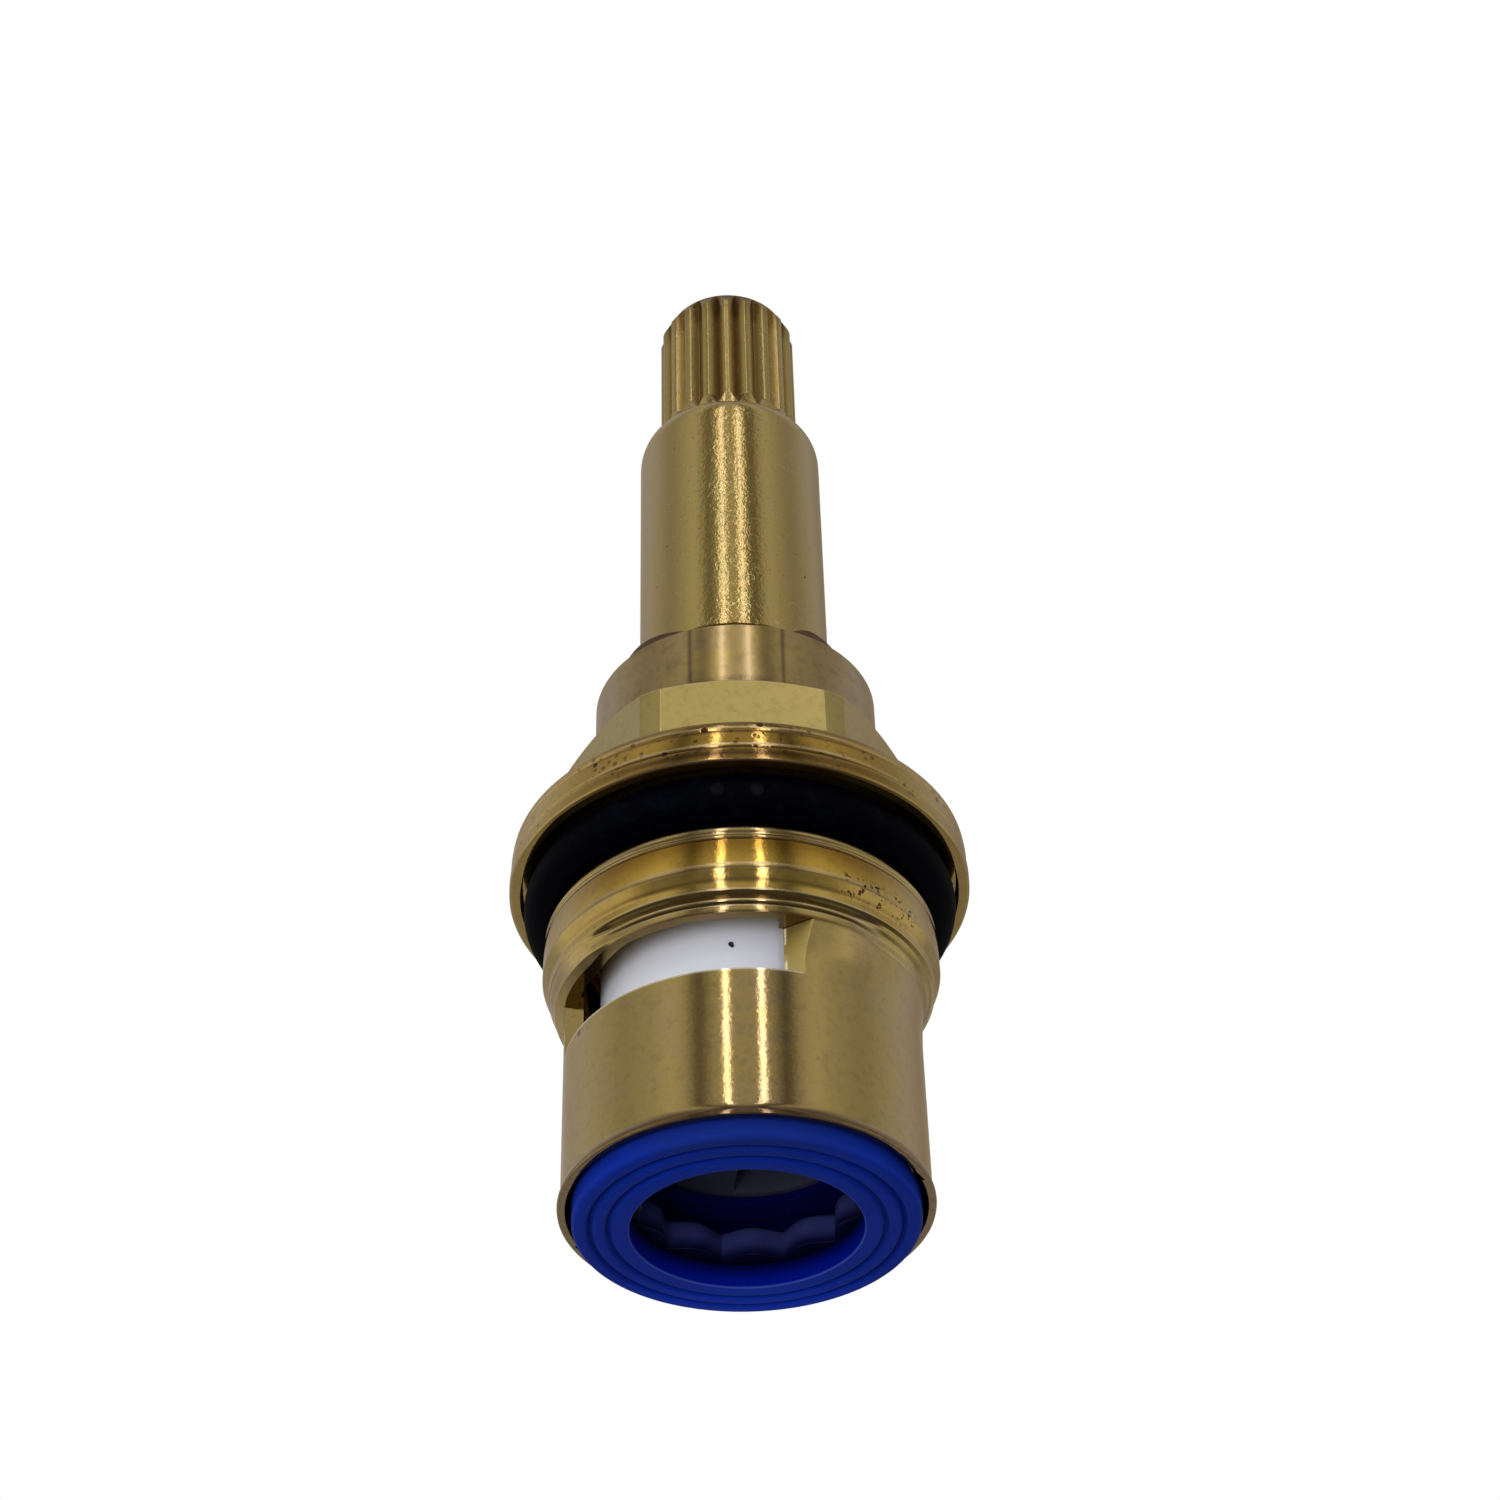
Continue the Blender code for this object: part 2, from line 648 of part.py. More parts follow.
def fixed_disc(ceramic):
    """Lower ceramic disc with two ports, keyed in the bore."""
    outline = disc_outline(IN_BORE_R, FIXED_DISC_BOTTOM, FIXED_DISC_TOP)
    disc = turned("fixed_disc", outline, RING_SIDES, ceramic)
    keys = bar(WINDOW_TURN + 90.0, 2 * (IN_BORE_R + KEY_DEPTH), KEY_WIDTH)
    key_block = prism_mesh(keys, FIXED_DISC_BOTTOM + OVERLAP, FIXED_DISC_TOP - OVERLAP)
    combine(disc, tool(key_block), "UNION")
    low = FIXED_DISC_BOTTOM - CUT_PAST
    high = FIXED_DISC_TOP + CUT_PAST
    for bearing in (WINDOW_TURN, WINDOW_TURN + 180.0):
        port = sector(PORT_INNER_D / 2, PORT_OUTER_D / 2, bearing, PORT_ANGLE)
        combine(disc, tool(prism_mesh(port, low, high)), "DIFFERENCE")
    smooth(disc, 25.0)
    return disc


def support_ring(steel):
    """Flat steel ring that backs the seal against the fixed disc."""
    inner = IN_BORE_R - SUPPORT_RING_WIDTH
    top = SUPPORT_RING_BOTTOM + SUPPORT_RING_THICKNESS
    outline = [
        (inner, SUPPORT_RING_BOTTOM),
        (IN_BORE_R, SUPPORT_RING_BOTTOM),
        (IN_BORE_R, top),
        (inner, top),
    ]
    ring = turned("seal_support_ring", outline, RING_SIDES, steel)
    smooth(ring)
    return ring


def noise_damper(plastic):
    """Ring with round lobes around its bore, inside the seal."""
    bottom = SEAL_LIP + SEAT_GAP
    top = bottom + DAMPER_HEIGHT
    valley = DAMPER_R - DAMPER_WALL
    outline = [(valley, bottom), (DAMPER_R, bottom), (DAMPER_R, top), (valley, top)]

    def lobed(index, radius, degrees):
        """Draw the bore's two rings in by round lobes."""
        if index in (1, 2):
            return radius
        swing = math.radians(DAMPER_LOBES / 2 * (degrees - LOBE_TURN))
        return radius - LOBE_DEPTH * abs(math.cos(swing))

    bm = turned_mesh(outline, DAMPER_LOBES * 6, lobed)
    damper = add_object("noise_damper", bm, plastic)
    smooth(damper, 50.0)
    return damper


def bottom_seal(rubber):
    """Blue seal: stepped face, hole, pocket for the damper and a wall in the bore."""
    outline = [
        (SEAL_HOLE_R + FINE_EDGE, 0.0),
        (SEAL_INNER_R, 0.0),
        (SEAL_INNER_R + FINE_EDGE, SEAL_STEP),
        (SEAL_MIDDLE_R, SEAL_STEP),
        (SEAL_MIDDLE_R + FINE_EDGE, 2 * SEAL_STEP),
        (SEAL_FLANGE_R - EDGE, 2 * SEAL_STEP),
        (SEAL_FLANGE_R, 2 * SEAL_STEP + EDGE),
        (SEAL_FLANGE_R, SEAL_FLANGE_TOP),
        (IN_BORE_R, SEAL_FLANGE_TOP),
        (IN_BORE_R, SEAL_HEIGHT),
        (SEAL_POCKET_R, SEAL_HEIGHT),
        (SEAL_POCKET_R, SEAL_LIP),
        (SEAL_HOLE_R, SEAL_LIP),
        (SEAL_HOLE_R, FINE_EDGE),
    ]
    seal = turned("bottom_seal", outline, TURNED_SIDES, rubber)
    smooth(seal)
    return seal


def main():
    """Build every piece of the cartridge."""
    for thing in list(bpy.data.objects):
        bpy.data.objects.remove(thing)
    brass = material("brass", (0.60, 0.45, 0.17), 0.28, 1.0)
    bronze = material("spring_bronze", (0.24, 0.13, 0.05), 0.45, 1.0)
    steel = material("steel", (0.55, 0.55, 0.56), 0.30, 1.0)
    rubber = material("black_rubber", (0.01, 0.01, 0.012), 0.45, 0.0)
    blue = material("blue_silicone", (0.008, 0.03, 0.45), 0.40, 0.0)
    navy = material("navy_plastic", (0.02, 0.02, 0.10), 0.35, 0.0)
    white = material("white_plastic", (0.75, 0.75, 0.72), 0.45, 0.0)
    ceramic = material("ceramic", (0.80, 0.82, 0.85), 0.25, 0.0)
    valve_body(brass)
    spindle(brass)
    retaining_clip(bronze)
    thrust_washer(white)
    stem_rings(rubber)
    body_ring(rubber)
    rotating_disc(ceramic)
    fixed_disc(ceramic)
    support_ring(steel)
    noise_damper(navy)
    bottom_seal(blue)


main()
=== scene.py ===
"""Looks of a brass quarter-turn shower mixer cartridge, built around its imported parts.

Lengths are in millimetres until a mesh is made. The axis is +Z with the spindle up, and a
bearing is counted in degrees from the front (-Y) towards the right (+X).
"""

import math

import bpy
import numpy as np
from mathutils import Matrix, Vector


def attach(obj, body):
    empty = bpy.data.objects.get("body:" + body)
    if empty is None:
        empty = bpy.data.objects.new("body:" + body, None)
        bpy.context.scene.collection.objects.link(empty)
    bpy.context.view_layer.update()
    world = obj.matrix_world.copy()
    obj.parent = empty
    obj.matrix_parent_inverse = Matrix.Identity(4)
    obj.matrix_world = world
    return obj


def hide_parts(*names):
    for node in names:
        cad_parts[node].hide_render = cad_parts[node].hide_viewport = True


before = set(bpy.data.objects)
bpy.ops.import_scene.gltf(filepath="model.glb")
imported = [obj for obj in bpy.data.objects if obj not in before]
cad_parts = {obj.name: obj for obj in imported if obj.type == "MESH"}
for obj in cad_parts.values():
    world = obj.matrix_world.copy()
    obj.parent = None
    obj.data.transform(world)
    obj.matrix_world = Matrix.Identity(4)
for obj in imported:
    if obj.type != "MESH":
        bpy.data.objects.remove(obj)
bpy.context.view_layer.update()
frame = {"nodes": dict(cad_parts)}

MM = 0.001

# Brass body, from the mouth up
MOUTH_R = 8.70
LIP_R = 9.12
TUBE_R = 8.95
BEAD_R = 9.43
STEP_R = 9.75
COLLAR_R = 10.10
GROOVE_R = 8.28
UNDERCUT_R = 11.35
FLANGE_R = 11.95
NECK_R = 7.60
NECK_BORE_R = 5.35
BORE_R = 8.15
BODY_BOTTOM = 0.95
WINDOW_BOTTOM = 9.05
WINDOW_TOP = 12.00
BORE_TOP = 16.05
GROOVE_BOTTOM = 16.70
GROOVE_TOP = 20.10
FLANGE_BOTTOM = 19.30
FLANGE_TOP = 21.95
HEX_TOP = 27.85
NECK_TOP = 31.95
HEX_FLAT_R = 8.50
HEX_CORNER_R = 9.50
HEX_TURN = 2.65
HEX_SLOPE = 0.62
WINDOW_TURN = -30.0
WINDOW_PLANE = 5.80
RELIEF_R = 8.88
RELIEF_TOP = 13.90
RELIEF_HALF = 43.0
RIB_R = 6.70
RIB_HALF = 21.5
RIB_BOTTOM = 14.75
KEYWAY_R = 8.70
KEYWAY_HALF = 1.80
KEYWAY_TOP = 8.30

# Bearings where the beads above the tube are low and worn, and where the tube's edge is proud
LOW_BEARING = 95.0
WORN_BEARING = -100.0
PROUD_BEARING = -2.0

# Rubber ring under the flange, with its moulding line
BODY_RING_R = 9.84
BODY_RING_Z = 18.40
BODY_RING_SECTION_R = 1.31
SEAM_RISE = 0.015
SEAM_WIDTH = 9.0

# Blue seal and the lobed insert in its pocket
SEAL_HOLE_R = 5.62
SEAL_POCKET_R = 6.55
SEAL_WALL_R = 7.85
SEAL_RIM_R = 8.40
SEAL_LIP_TOP = 1.30
SEAL_RIM_TOP = 1.35
SEAL_TOP = 4.30
DAMPER_R = 6.25
DAMPER_INNER_R = 5.85
DAMPER_BOTTOM = 1.55
DAMPER_TOP = 3.25
LOBE_DEPTH = 0.80
LOBE_TURN = 2.3

# Curved walls around the upper disc
WALL_INNER_R = 7.02
WALL_OUTER_R = 7.16
WALL_SHELF_R = 6.60
WALL_BOTTOM = 8.62
WALL_SHELF = 13.62
WALL_TOP = 14.55
WALL_START = -110.0
WALL_END = 22.0

# Spindle, from its foot up
JOURNAL_R = 5.05
SHANK_R = 5.22
STOP_COLLAR_R = 6.40
LUG_R = 7.85
LUG_TURN = 45.0
LUG_HALF = 21.1
TONGUE_TURN = 60.0
TONGUE_HALF = 5.60
TONGUE_HALF_WIDTH = 2.0
TONGUE_BOTTOM = 11.15
TONGUE_SUNK = 0.3
SPLINE_R = 4.00
SPLINE_ROOT_R = 3.56
SPLINE_TEETH = 20
SPLINE_TURN = 9.0
STOP_BOTTOM = 13.85
STOP_TOP = 15.15
STOP_EDGE = 0.12
STEM_GROOVES = (25.25, 28.85)
STEM_GROOVE_R = 3.35
STEM_GROOVE_HALF = 0.95
CLIP_GROOVE_R = 4.25
RUN_OUT = 52.30
RUN_LENGTH = 0.95
TIP_EDGE = 61.20
SHANK_BOTTOM = 34.12
SHANK_TOP = 51.00
SHOULDER_TOP = 51.95
SPINDLE_TOP = 62.05
HOLE_R = 2.10
HOLE_EDGE = 0.28
HOLE_DEPTH = 12.0
DRILL_TIP_DEPTH = 13.2

# Spring clip above the neck
CLIP_START = 30.0
CLIP_END = 338.0
CLIP_TAPERS = (18.0, 38.0)
CLIP_INNER_R = 4.45
CLIP_OUTER_R = 6.30
CLIP_BOTTOM = 32.72
CLIP_THIN_TOP = 33.05
CLIP_RISE = 0.93
CLIP_LEFT = 0.08

# Sides of each full turn, and steps along the open pieces and cutters
BODY_SIDES = 264
SPINDLE_SIDES = 400
RING_SIDES = 240
SECTION_SIDES = 56
DAMPER_SIDES = 480
FLOOR_SIDES = 96
CLIP_STEPS = 206
WALL_STEPS = 89
RELIEF_STEPS = 49

# Angle in degrees above which an edge between two faces stays sharp
SHARP = 32.0

# Camera, as the photograph was taken
CAMERA_TILT = 39.05
CAMERA_DISTANCE = 0.155
CAMERA_ROLL = -1.33
CAMERA_LENS = 68.64
CAMERA_AIM = 0.02955
CAMERA_SHIFT = 0.00927


# Shapes


def shade(mesh):
    """Shade round walls smooth and keep the edges sharp."""
    mesh.shade_smooth()
    mesh.set_sharp_from_angle(angle=math.radians(SHARP))


def make_piece(name, points, faces, body, nodes):
    """Make a piece from points in millimetres and let it ride on a body."""
    mesh = bpy.data.meshes.new(name)
    mesh.from_pydata((points * MM).tolist(), [], faces)
    shade(mesh)
    piece = bpy.data.objects.new(name, mesh)
    bpy.context.scene.collection.objects.link(piece)
    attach(piece, body)
    if nodes:
        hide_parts(*nodes)
    return piece


def full_turn(count):
    """Bearings spread evenly over a full turn."""
    return np.arange(count) * 360.0 / count


def rounded(corners, radii, steps=4):
    """Round every corner of a run of points by a quadratic curve.

    corners is (count, bearings, 2) and radii is (count,). Each corner is left at its
    radius before it and joined again at its radius after it, never past half a side.
    """
    before = np.roll(corners, 1, axis=0) - corners
    after = np.roll(corners, -1, axis=0) - corners
    lengths = []
    for side in (before, after):
        size = np.linalg.norm(side, axis=2, keepdims=True)
        reach = np.minimum(radii[:, None, None], size * 0.49)
        lengths.append(side / np.maximum(size, 1e-9) * reach)
    start = corners + lengths[0]
    end = corners + lengths[1]
    t = np.linspace(0.0, 1.0, steps + 1)[None, :, None, None]
    curve = (1 - t) ** 2 * start[:, None] + 2 * t * (1 - t) * corners[:, None]
    curve = curve + t**2 * end[:, None]
    return curve.reshape(-1, *corners.shape[1:])


def profile(points, bearings, steps=4):
    """Turn a list of (radius, height, rounding) into a rounded grid over the bearings.

    A radius or height may be a number or an array over the bearings.
    """
    count = len(bearings)
    corners = np.zeros((len(points), count, 2))
    for index, (radius, height, _) in enumerate(points):
        corners[index, :, 0] = radius
        corners[index, :, 1] = height
    radii = np.array([point[2] for point in points])
    return rounded(corners, radii, steps)


def spun(grid, bearings):
    """Points and faces of a closed skin: r = grid[..., 0], z = grid[..., 1], turned
    so that x = r sin(bearing) and y = -r cos(bearing). Both directions close up."""
    rows, columns = grid.shape[:2]
    angle = np.radians(bearings)[None, :]
    x = grid[..., 0] * np.sin(angle)
    y = -grid[..., 0] * np.cos(angle)
    points = np.stack([x, y, grid[..., 1]], axis=-1).reshape(-1, 3)
    index = np.arange(rows * columns).reshape(rows, columns)
    right = np.roll(index, -1, axis=1)
    above = np.roll(index, -1, axis=0)
    above_right = np.roll(right, -1, axis=0)
    faces = np.stack([index, right, above_right, above], axis=-1).reshape(-1, 4)
    return points, faces.tolist()


def capped(grid, bearings):
    """Like spun, but the run of points ends on the axis at both ends."""
    points, faces = spun(grid, bearings)
    rows, columns = grid.shape[:2]
    faces = np.array(faces).reshape(rows, columns, 4)[:-1].reshape(-1, 4)
    low = rows * columns
    ends = np.array([[0.0, 0.0, grid[0, 0, 1]], [0.0, 0.0, grid[-1, 0, 1]]])
    points = np.vstack([points, ends])
    first = np.arange(columns)
    after = np.roll(first, -1)
    foot = np.stack([first, np.full(columns, low), after], axis=-1)
    last = first + (rows - 1) * columns
    last_after = after + (rows - 1) * columns
    head = np.stack([last, last_after, np.full(columns, low + 1)], axis=-1)
    return points, faces.tolist() + foot.tolist() + head.tolist()


def cut(piece, points, faces):
    """Cut a closed solid out of a piece and keep the result in its mesh."""
    mesh = bpy.data.meshes.new("cutter")
    mesh.from_pydata((points * MM).tolist(), [], faces)
    cutter = bpy.data.objects.new("cutter", mesh)
    bpy.context.scene.collection.objects.link(cutter)
    step = piece.modifiers.new("cut", "BOOLEAN")
    step.operation = "DIFFERENCE"
    step.solver = "EXACT"
    step.object = cutter
    graph = bpy.context.evaluated_depsgraph_get()
    result = bpy.data.meshes.new_from_object(piece.evaluated_get(graph))
    piece.modifiers.clear()
    piece.data = result
    bpy.data.objects.remove(cutter)


def prism(outline, bottom, top):
    """Raise an outline (count, 2), counted anticlockwise from above, into a solid."""
    count = len(outline)
    low = np.column_stack([outline, np.full(count, bottom)])
    high = np.column_stack([outline, np.full(count, top)])
    first = np.arange(count)
    after = np.roll(first, -1)
    sides = np.stack([first, after, after + count, first + count], axis=-1)
    faces = sides.tolist() + [first[::-1].tolist(), (first + count).tolist()]
    return np.vstack([low, high]), faces


def hexagon_radius(bearings):
    """Radius of the hexagon with turned-off corners at each bearing."""
    off_face = (bearings - HEX_TURN + 30.0) % 60.0 - 30.0
    return np.minimum(HEX_FLAT_R / np.cos(np.radians(off_face)), HEX_CORNER_R)


def near(bearings, centre, reach, soft):
    """1 around a bearing, falling to 0 over soft degrees; reach is counted in soft."""
    away = np.abs((bearings - centre + 180.0) % 360.0 - 180.0)
    return np.clip(reach - away / soft, 0.0, 1.0)


def body_points(bearings):
    """Section of the brass body at every bearing: outside going up, bore coming down.

    The beads above the tube are crisp in front, low on the right and worn on the left,
    and the tube meets them flush on the right and proud in front.
    """
    hexagon = hexagon_radius(bearings)
    shoulder = HEX_TOP - (hexagon - NECK_R) * HEX_SLOPE
    rib = np.where(np.abs((bearings + 90.0) % 180.0 - 90.0) < RIB_HALF, RIB_R, BORE_R)
    low = near(bearings, LOW_BEARING, 5.0, 12.0)
    worn = near(bearings, WORN_BEARING, 5.0, 12.0)
    crisp = 1.0 - low - worn
    low_bead = BEAD_R - 0.28 * low
    flush = near(bearings, LOW_BEARING, 27.0, 3.0)
    proud = np.maximum(near(bearings, PROUD_BEARING, 3.5, 15.0), flush)
    tube = [
        (MOUTH_R, BODY_BOTTOM, 0.05),
        (LIP_R - 0.04, BODY_BOTTOM, 0.05),
        (LIP_R, BODY_BOTTOM + 0.20, 0.06),
        (TUBE_R, 1.52, 0.15),
        (TUBE_R, 11.76 - 1.60 * flush, 0.70),
        (TUBE_R + 0.03 + (low_bead - TUBE_R - 0.07) * proud, 11.98, 0.05),
        (low_bead, 12.20 - 0.10 * proud, 0.05),
        (low_bead + 0.03 * low + 0.05 * worn, 12.42, 0.04),
        (low_bead + 0.06 * low + 0.09 * worn - 0.12 * crisp, 12.52, 0.03),
        (BEAD_R - 0.15 * low + 0.14 * worn, 12.64, 0.04),
        (BEAD_R + 0.20 * worn, 12.78, 0.03),
        (BEAD_R + 0.06 * low + 0.23 * worn - 0.10 * crisp, 12.86, 0.04),
        (STEP_R - 0.10 - 0.08 * low + 0.03 * worn, 12.98, 0.04),
        (STEP_R, 13.08, 0.05),
        (STEP_R + 0.01, 13.48, 0.10),
    ]
    collar = [
        (COLLAR_R - 0.03, 14.08, 0.05),
        (COLLAR_R, 14.16, 0.04),
        (COLLAR_R - 0.02, 15.86, 0.05),
        (COLLAR_R - 0.11, 16.00, 0.05),
        (COLLAR_R - 0.06, 16.12, 0.04),
        (COLLAR_R - 0.15, 16.27, 0.04),
        (COLLAR_R - 0.08, 16.40, 0.05),
        (COLLAR_R - 0.10, GROOVE_BOTTOM, 0.07),
        (GROOVE_R, GROOVE_BOTTOM, 0.15),
        (GROOVE_R, GROOVE_TOP, 0.15),
        (UNDERCUT_R, GROOVE_TOP, 0.10),
        (UNDERCUT_R, FLANGE_BOTTOM, 0.04),
    ]
    flange = [
        (FLANGE_R - 0.12, FLANGE_BOTTOM, 0.05),
        (FLANGE_R - 0.01, FLANGE_BOTTOM + 0.12, 0.07),
        (FLANGE_R, FLANGE_BOTTOM + 0.74, 0.10),
        (FLANGE_R - 0.12, FLANGE_BOTTOM + 0.86, 0.03),
        (FLANGE_R - 0.05, FLANGE_BOTTOM + 0.95, 0.05),
        (FLANGE_R - 0.07, FLANGE_BOTTOM + 1.86, 0.06),
        (FLANGE_R - 0.16, FLANGE_BOTTOM + 1.95, 0.03),
        (FLANGE_R - 0.10, FLANGE_BOTTOM + 2.08, 0.05),
        (FLANGE_R - 0.16, FLANGE_BOTTOM + 2.40, 0.10),
        (FLANGE_R - 0.34, FLANGE_TOP, 0.12),
    ]
    top = [
        (hexagon + 0.02, FLANGE_TOP + 0.02, 0.10),
        (hexagon, shoulder, 0.06),
        (NECK_R, HEX_TOP + 0.02, 0.08),
        (NECK_R, NECK_TOP - 0.04, 0.06),
        (NECK_R - 0.10, NECK_TOP, 0.05),
        (NECK_BORE_R + 0.10, NECK_TOP, 0.05),
        (NECK_BORE_R, NECK_TOP - 0.12, 0.05),
        (NECK_BORE_R, BORE_TOP, 0.02),
        (rib, BORE_TOP, 0.10),
        (rib, RIB_BOTTOM, 0.10),
        (BORE_R, RIB_BOTTOM - 0.02, 0.0),
        (BORE_R, 1.95, 0.10),
        (MOUTH_R, 1.65, 0.10),
    ]
    return tube + collar + flange + top


def window_box(bearing):
    """Cutter of one flat side window: everything beyond a plane beside the axis."""
    angle = math.radians(bearing)
    ahead = np.array([math.sin(angle), -math.cos(angle)])
    aside = np.array([-ahead[1], ahead[0]]) * (STEP_R + 1.25)
    inner = ahead * WINDOW_PLANE
    outer = ahead * (STEP_R + 1.0)
    outline = np.array([inner - aside, outer - aside, outer + aside, inner + aside])
    return prism(outline, WINDOW_BOTTOM, WINDOW_TOP)


def relief_sector(bearing):
    """Cutter that widens the bore above one window, less so towards the window's left end."""
    ends = (bearing - RELIEF_HALF, bearing + RELIEF_HALF)
    spread = np.radians(np.linspace(*ends, RELIEF_STEPS))
    reach = RELIEF_R - 0.50 * np.clip(np.linspace(2.0, -3.0, RELIEF_STEPS), 0.0, 1.0)
    outer = np.column_stack([np.sin(spread), -np.cos(spread)]) * reach[:, None]
    inner = np.column_stack([np.sin(spread[::-1]), -np.cos(spread[::-1])]) * (BORE_R - 1.0)
    return prism(np.vstack([outer, inner]), WINDOW_TOP - 1.0, RELIEF_TOP)


def bar(bearing, half_length, half_width):
    """Outline of a straight bar across the axis, its length towards a bearing."""
    angle = math.radians(bearing)
    along = np.array([math.sin(angle), -math.cos(angle)]) * half_length
    across = np.array([math.cos(angle), math.sin(angle)]) * half_width
    return np.array([-along - across, along - across, along + across, across - along])


def valve_body():
    """Brass body with its two windows, and with the keyways of the lower disc in its bore.

    Two more bearings are added at every edge of the hexagon and of the stop ribs.
    """
    half_flat = math.degrees(math.acos(HEX_FLAT_R / HEX_CORNER_R))
    faces = HEX_TURN + 60.0 * np.arange(6)
    edges = np.concatenate([faces - half_flat, faces + half_flat]) % 360.0
    ribs = np.array([-RIB_HALF, RIB_HALF, 180.0 - RIB_HALF, 180.0 + RIB_HALF])
    steps = np.concatenate([edges, ribs])
    even = full_turn(BODY_SIDES)
    bearings = np.sort(np.concatenate([even, steps - 0.12, steps + 0.12]) % 360.0)
    points, quads = spun(profile(body_points(bearings), bearings), bearings)
    body = make_piece("valve_body_brass", points, quads, "housing", ["valve_body"])
    for bearing in (WINDOW_TURN, WINDOW_TURN + 180.0):
        cut(body, *window_box(bearing))
        cut(body, *relief_sector(bearing))
    keyways = bar(WINDOW_TURN + 90.0, KEYWAY_R, KEYWAY_HALF)
    cut(body, *prism(keyways, BODY_BOTTOM - 1.0, KEYWAY_TOP))
    shade(body.data)
    return body


def tooth_radius(bearings):
    """Radius of the spline at each bearing: round lands with vee grooves between."""
    pitch = 360.0 / SPLINE_TEETH
    off = np.abs((bearings - SPLINE_TURN + pitch / 2) % pitch - pitch / 2)
    rise = (off - 0.25) / (0.5 * pitch - 2.6) * (SPLINE_R - SPLINE_ROOT_R)
    return np.clip(SPLINE_ROOT_R + rise, SPLINE_ROOT_R, SPLINE_R)


def lug_radius(bearings):
    """Radius of the stop collar at each bearing, with its two lugs."""
    return np.where(np.abs(bearings % 180.0 - LUG_TURN) < LUG_HALF, LUG_R, STOP_COLLAR_R)


def spindle_points(bearings):
    """Section of the spindle at every bearing, from its foot to the screw hole.

    A spline groove starts in a point at RUN_OUT and is full deep and wide RUN_LENGTH
    higher; the tip is turned to a cone that just reaches the roots.
    """
    tooth = tooth_radius(bearings)
    depth = (SPLINE_R - tooth) / (SPLINE_R - SPLINE_ROOT_R)
    lug = lug_radius(bearings)
    foot = [
        (0.60, STOP_BOTTOM, 0.0),
        (STOP_COLLAR_R, STOP_BOTTOM, 0.05),
        (STOP_COLLAR_R, STOP_BOTTOM + STOP_EDGE, 0.01),
        (lug, STOP_BOTTOM + STOP_EDGE, 0.08),
        (lug, STOP_TOP - STOP_EDGE, 0.08),
        (STOP_COLLAR_R, STOP_TOP - STOP_EDGE, 0.01),
        (STOP_COLLAR_R, STOP_TOP, 0.05),
        (JOURNAL_R, STOP_TOP, 0.10),
    ]
    for height in STEM_GROOVES:
        foot += [
            (JOURNAL_R, height - STEM_GROOVE_HALF, 0.08),
            (STEM_GROOVE_R, height - STEM_GROOVE_HALF, 0.10),
            (STEM_GROOVE_R, height + STEM_GROOVE_HALF, 0.10),
            (JOURNAL_R, height + STEM_GROOVE_HALF, 0.08),
        ]
    shank = [
        (JOURNAL_R, NECK_TOP, 0.05),
        (CLIP_GROOVE_R, NECK_TOP, 0.10),
        (CLIP_GROOVE_R, SHANK_BOTTOM, 0.10),
        (SHANK_R - 0.07, SHANK_BOTTOM, 0.04),
        (SHANK_R, SHANK_BOTTOM + 0.07, 0.04),
        (SHANK_R, SHANK_TOP - 0.15, 0.45),
        (SHANK_R - 0.24, SHANK_TOP + 0.50, 0.30),
        (SPLINE_R + 0.46, SHOULDER_TOP - 0.06, 0.16),
        (SPLINE_R + 0.02, SHOULDER_TOP + 0.02, 0.08),
        (SPLINE_R, SHOULDER_TOP + 0.10, 0.03),
        (SPLINE_R, RUN_OUT + RUN_LENGTH * (1.0 - depth), 0.02),
    ]
    spline = [
        (tooth, RUN_OUT + RUN_LENGTH + 0.02, 0.03),
        (tooth, TIP_EDGE + (SPINDLE_TOP - 0.02 - TIP_EDGE) * depth, 0.05),
        (SPLINE_ROOT_R - 0.01, SPINDLE_TOP, 0.01),
        (HOLE_R + HOLE_EDGE, SPINDLE_TOP, 0.05),
        (HOLE_R, SPINDLE_TOP - HOLE_EDGE, 0.05),
        (HOLE_R, SPINDLE_TOP - HOLE_DEPTH, 0.05),
        (0.02, SPINDLE_TOP - DRILL_TIP_DEPTH, 0.0),
    ]
    return foot + shank + spline


def spindle():
    """Splined spindle with two stop lugs and the tongue that turns the upper disc."""
    bearings = full_turn(SPINDLE_SIDES)
    points, faces = capped(profile(spindle_points(bearings), bearings), bearings)
    outline = bar(TONGUE_TURN, TONGUE_HALF, TONGUE_HALF_WIDTH)
    tongue, sides = prism(outline, TONGUE_BOTTOM, STOP_BOTTOM + TONGUE_SUNK)
    faces += [[corner + len(points) for corner in face] for face in sides]
    points = np.vstack([points, tongue])
    body = "spindle_assembly"
    return make_piece("spindle_brass", points, faces, body, ["spindle"])


def body_ring():
    """Rubber ring under the flange: a torus whose section swells by a bell at its girth."""
    bearings = full_turn(RING_SIDES)
    degrees = full_turn(SECTION_SIDES)
    around = np.radians(degrees)
    off_girth = (degrees + 180.0) % 360.0 - 180.0
    section = BODY_RING_SECTION_R + SEAM_RISE * np.exp(-((off_girth / SEAM_WIDTH) ** 2))
    grid = np.zeros((SECTION_SIDES, RING_SIDES, 2))
    grid[..., 0] = (BODY_RING_R + section * np.cos(around))[:, None]
    grid[..., 1] = (BODY_RING_Z + section * np.sin(around))[:, None]
    points, faces = spun(grid, bearings)
    return make_piece("body_ring", points, faces, "housing", ["body_o_ring"])


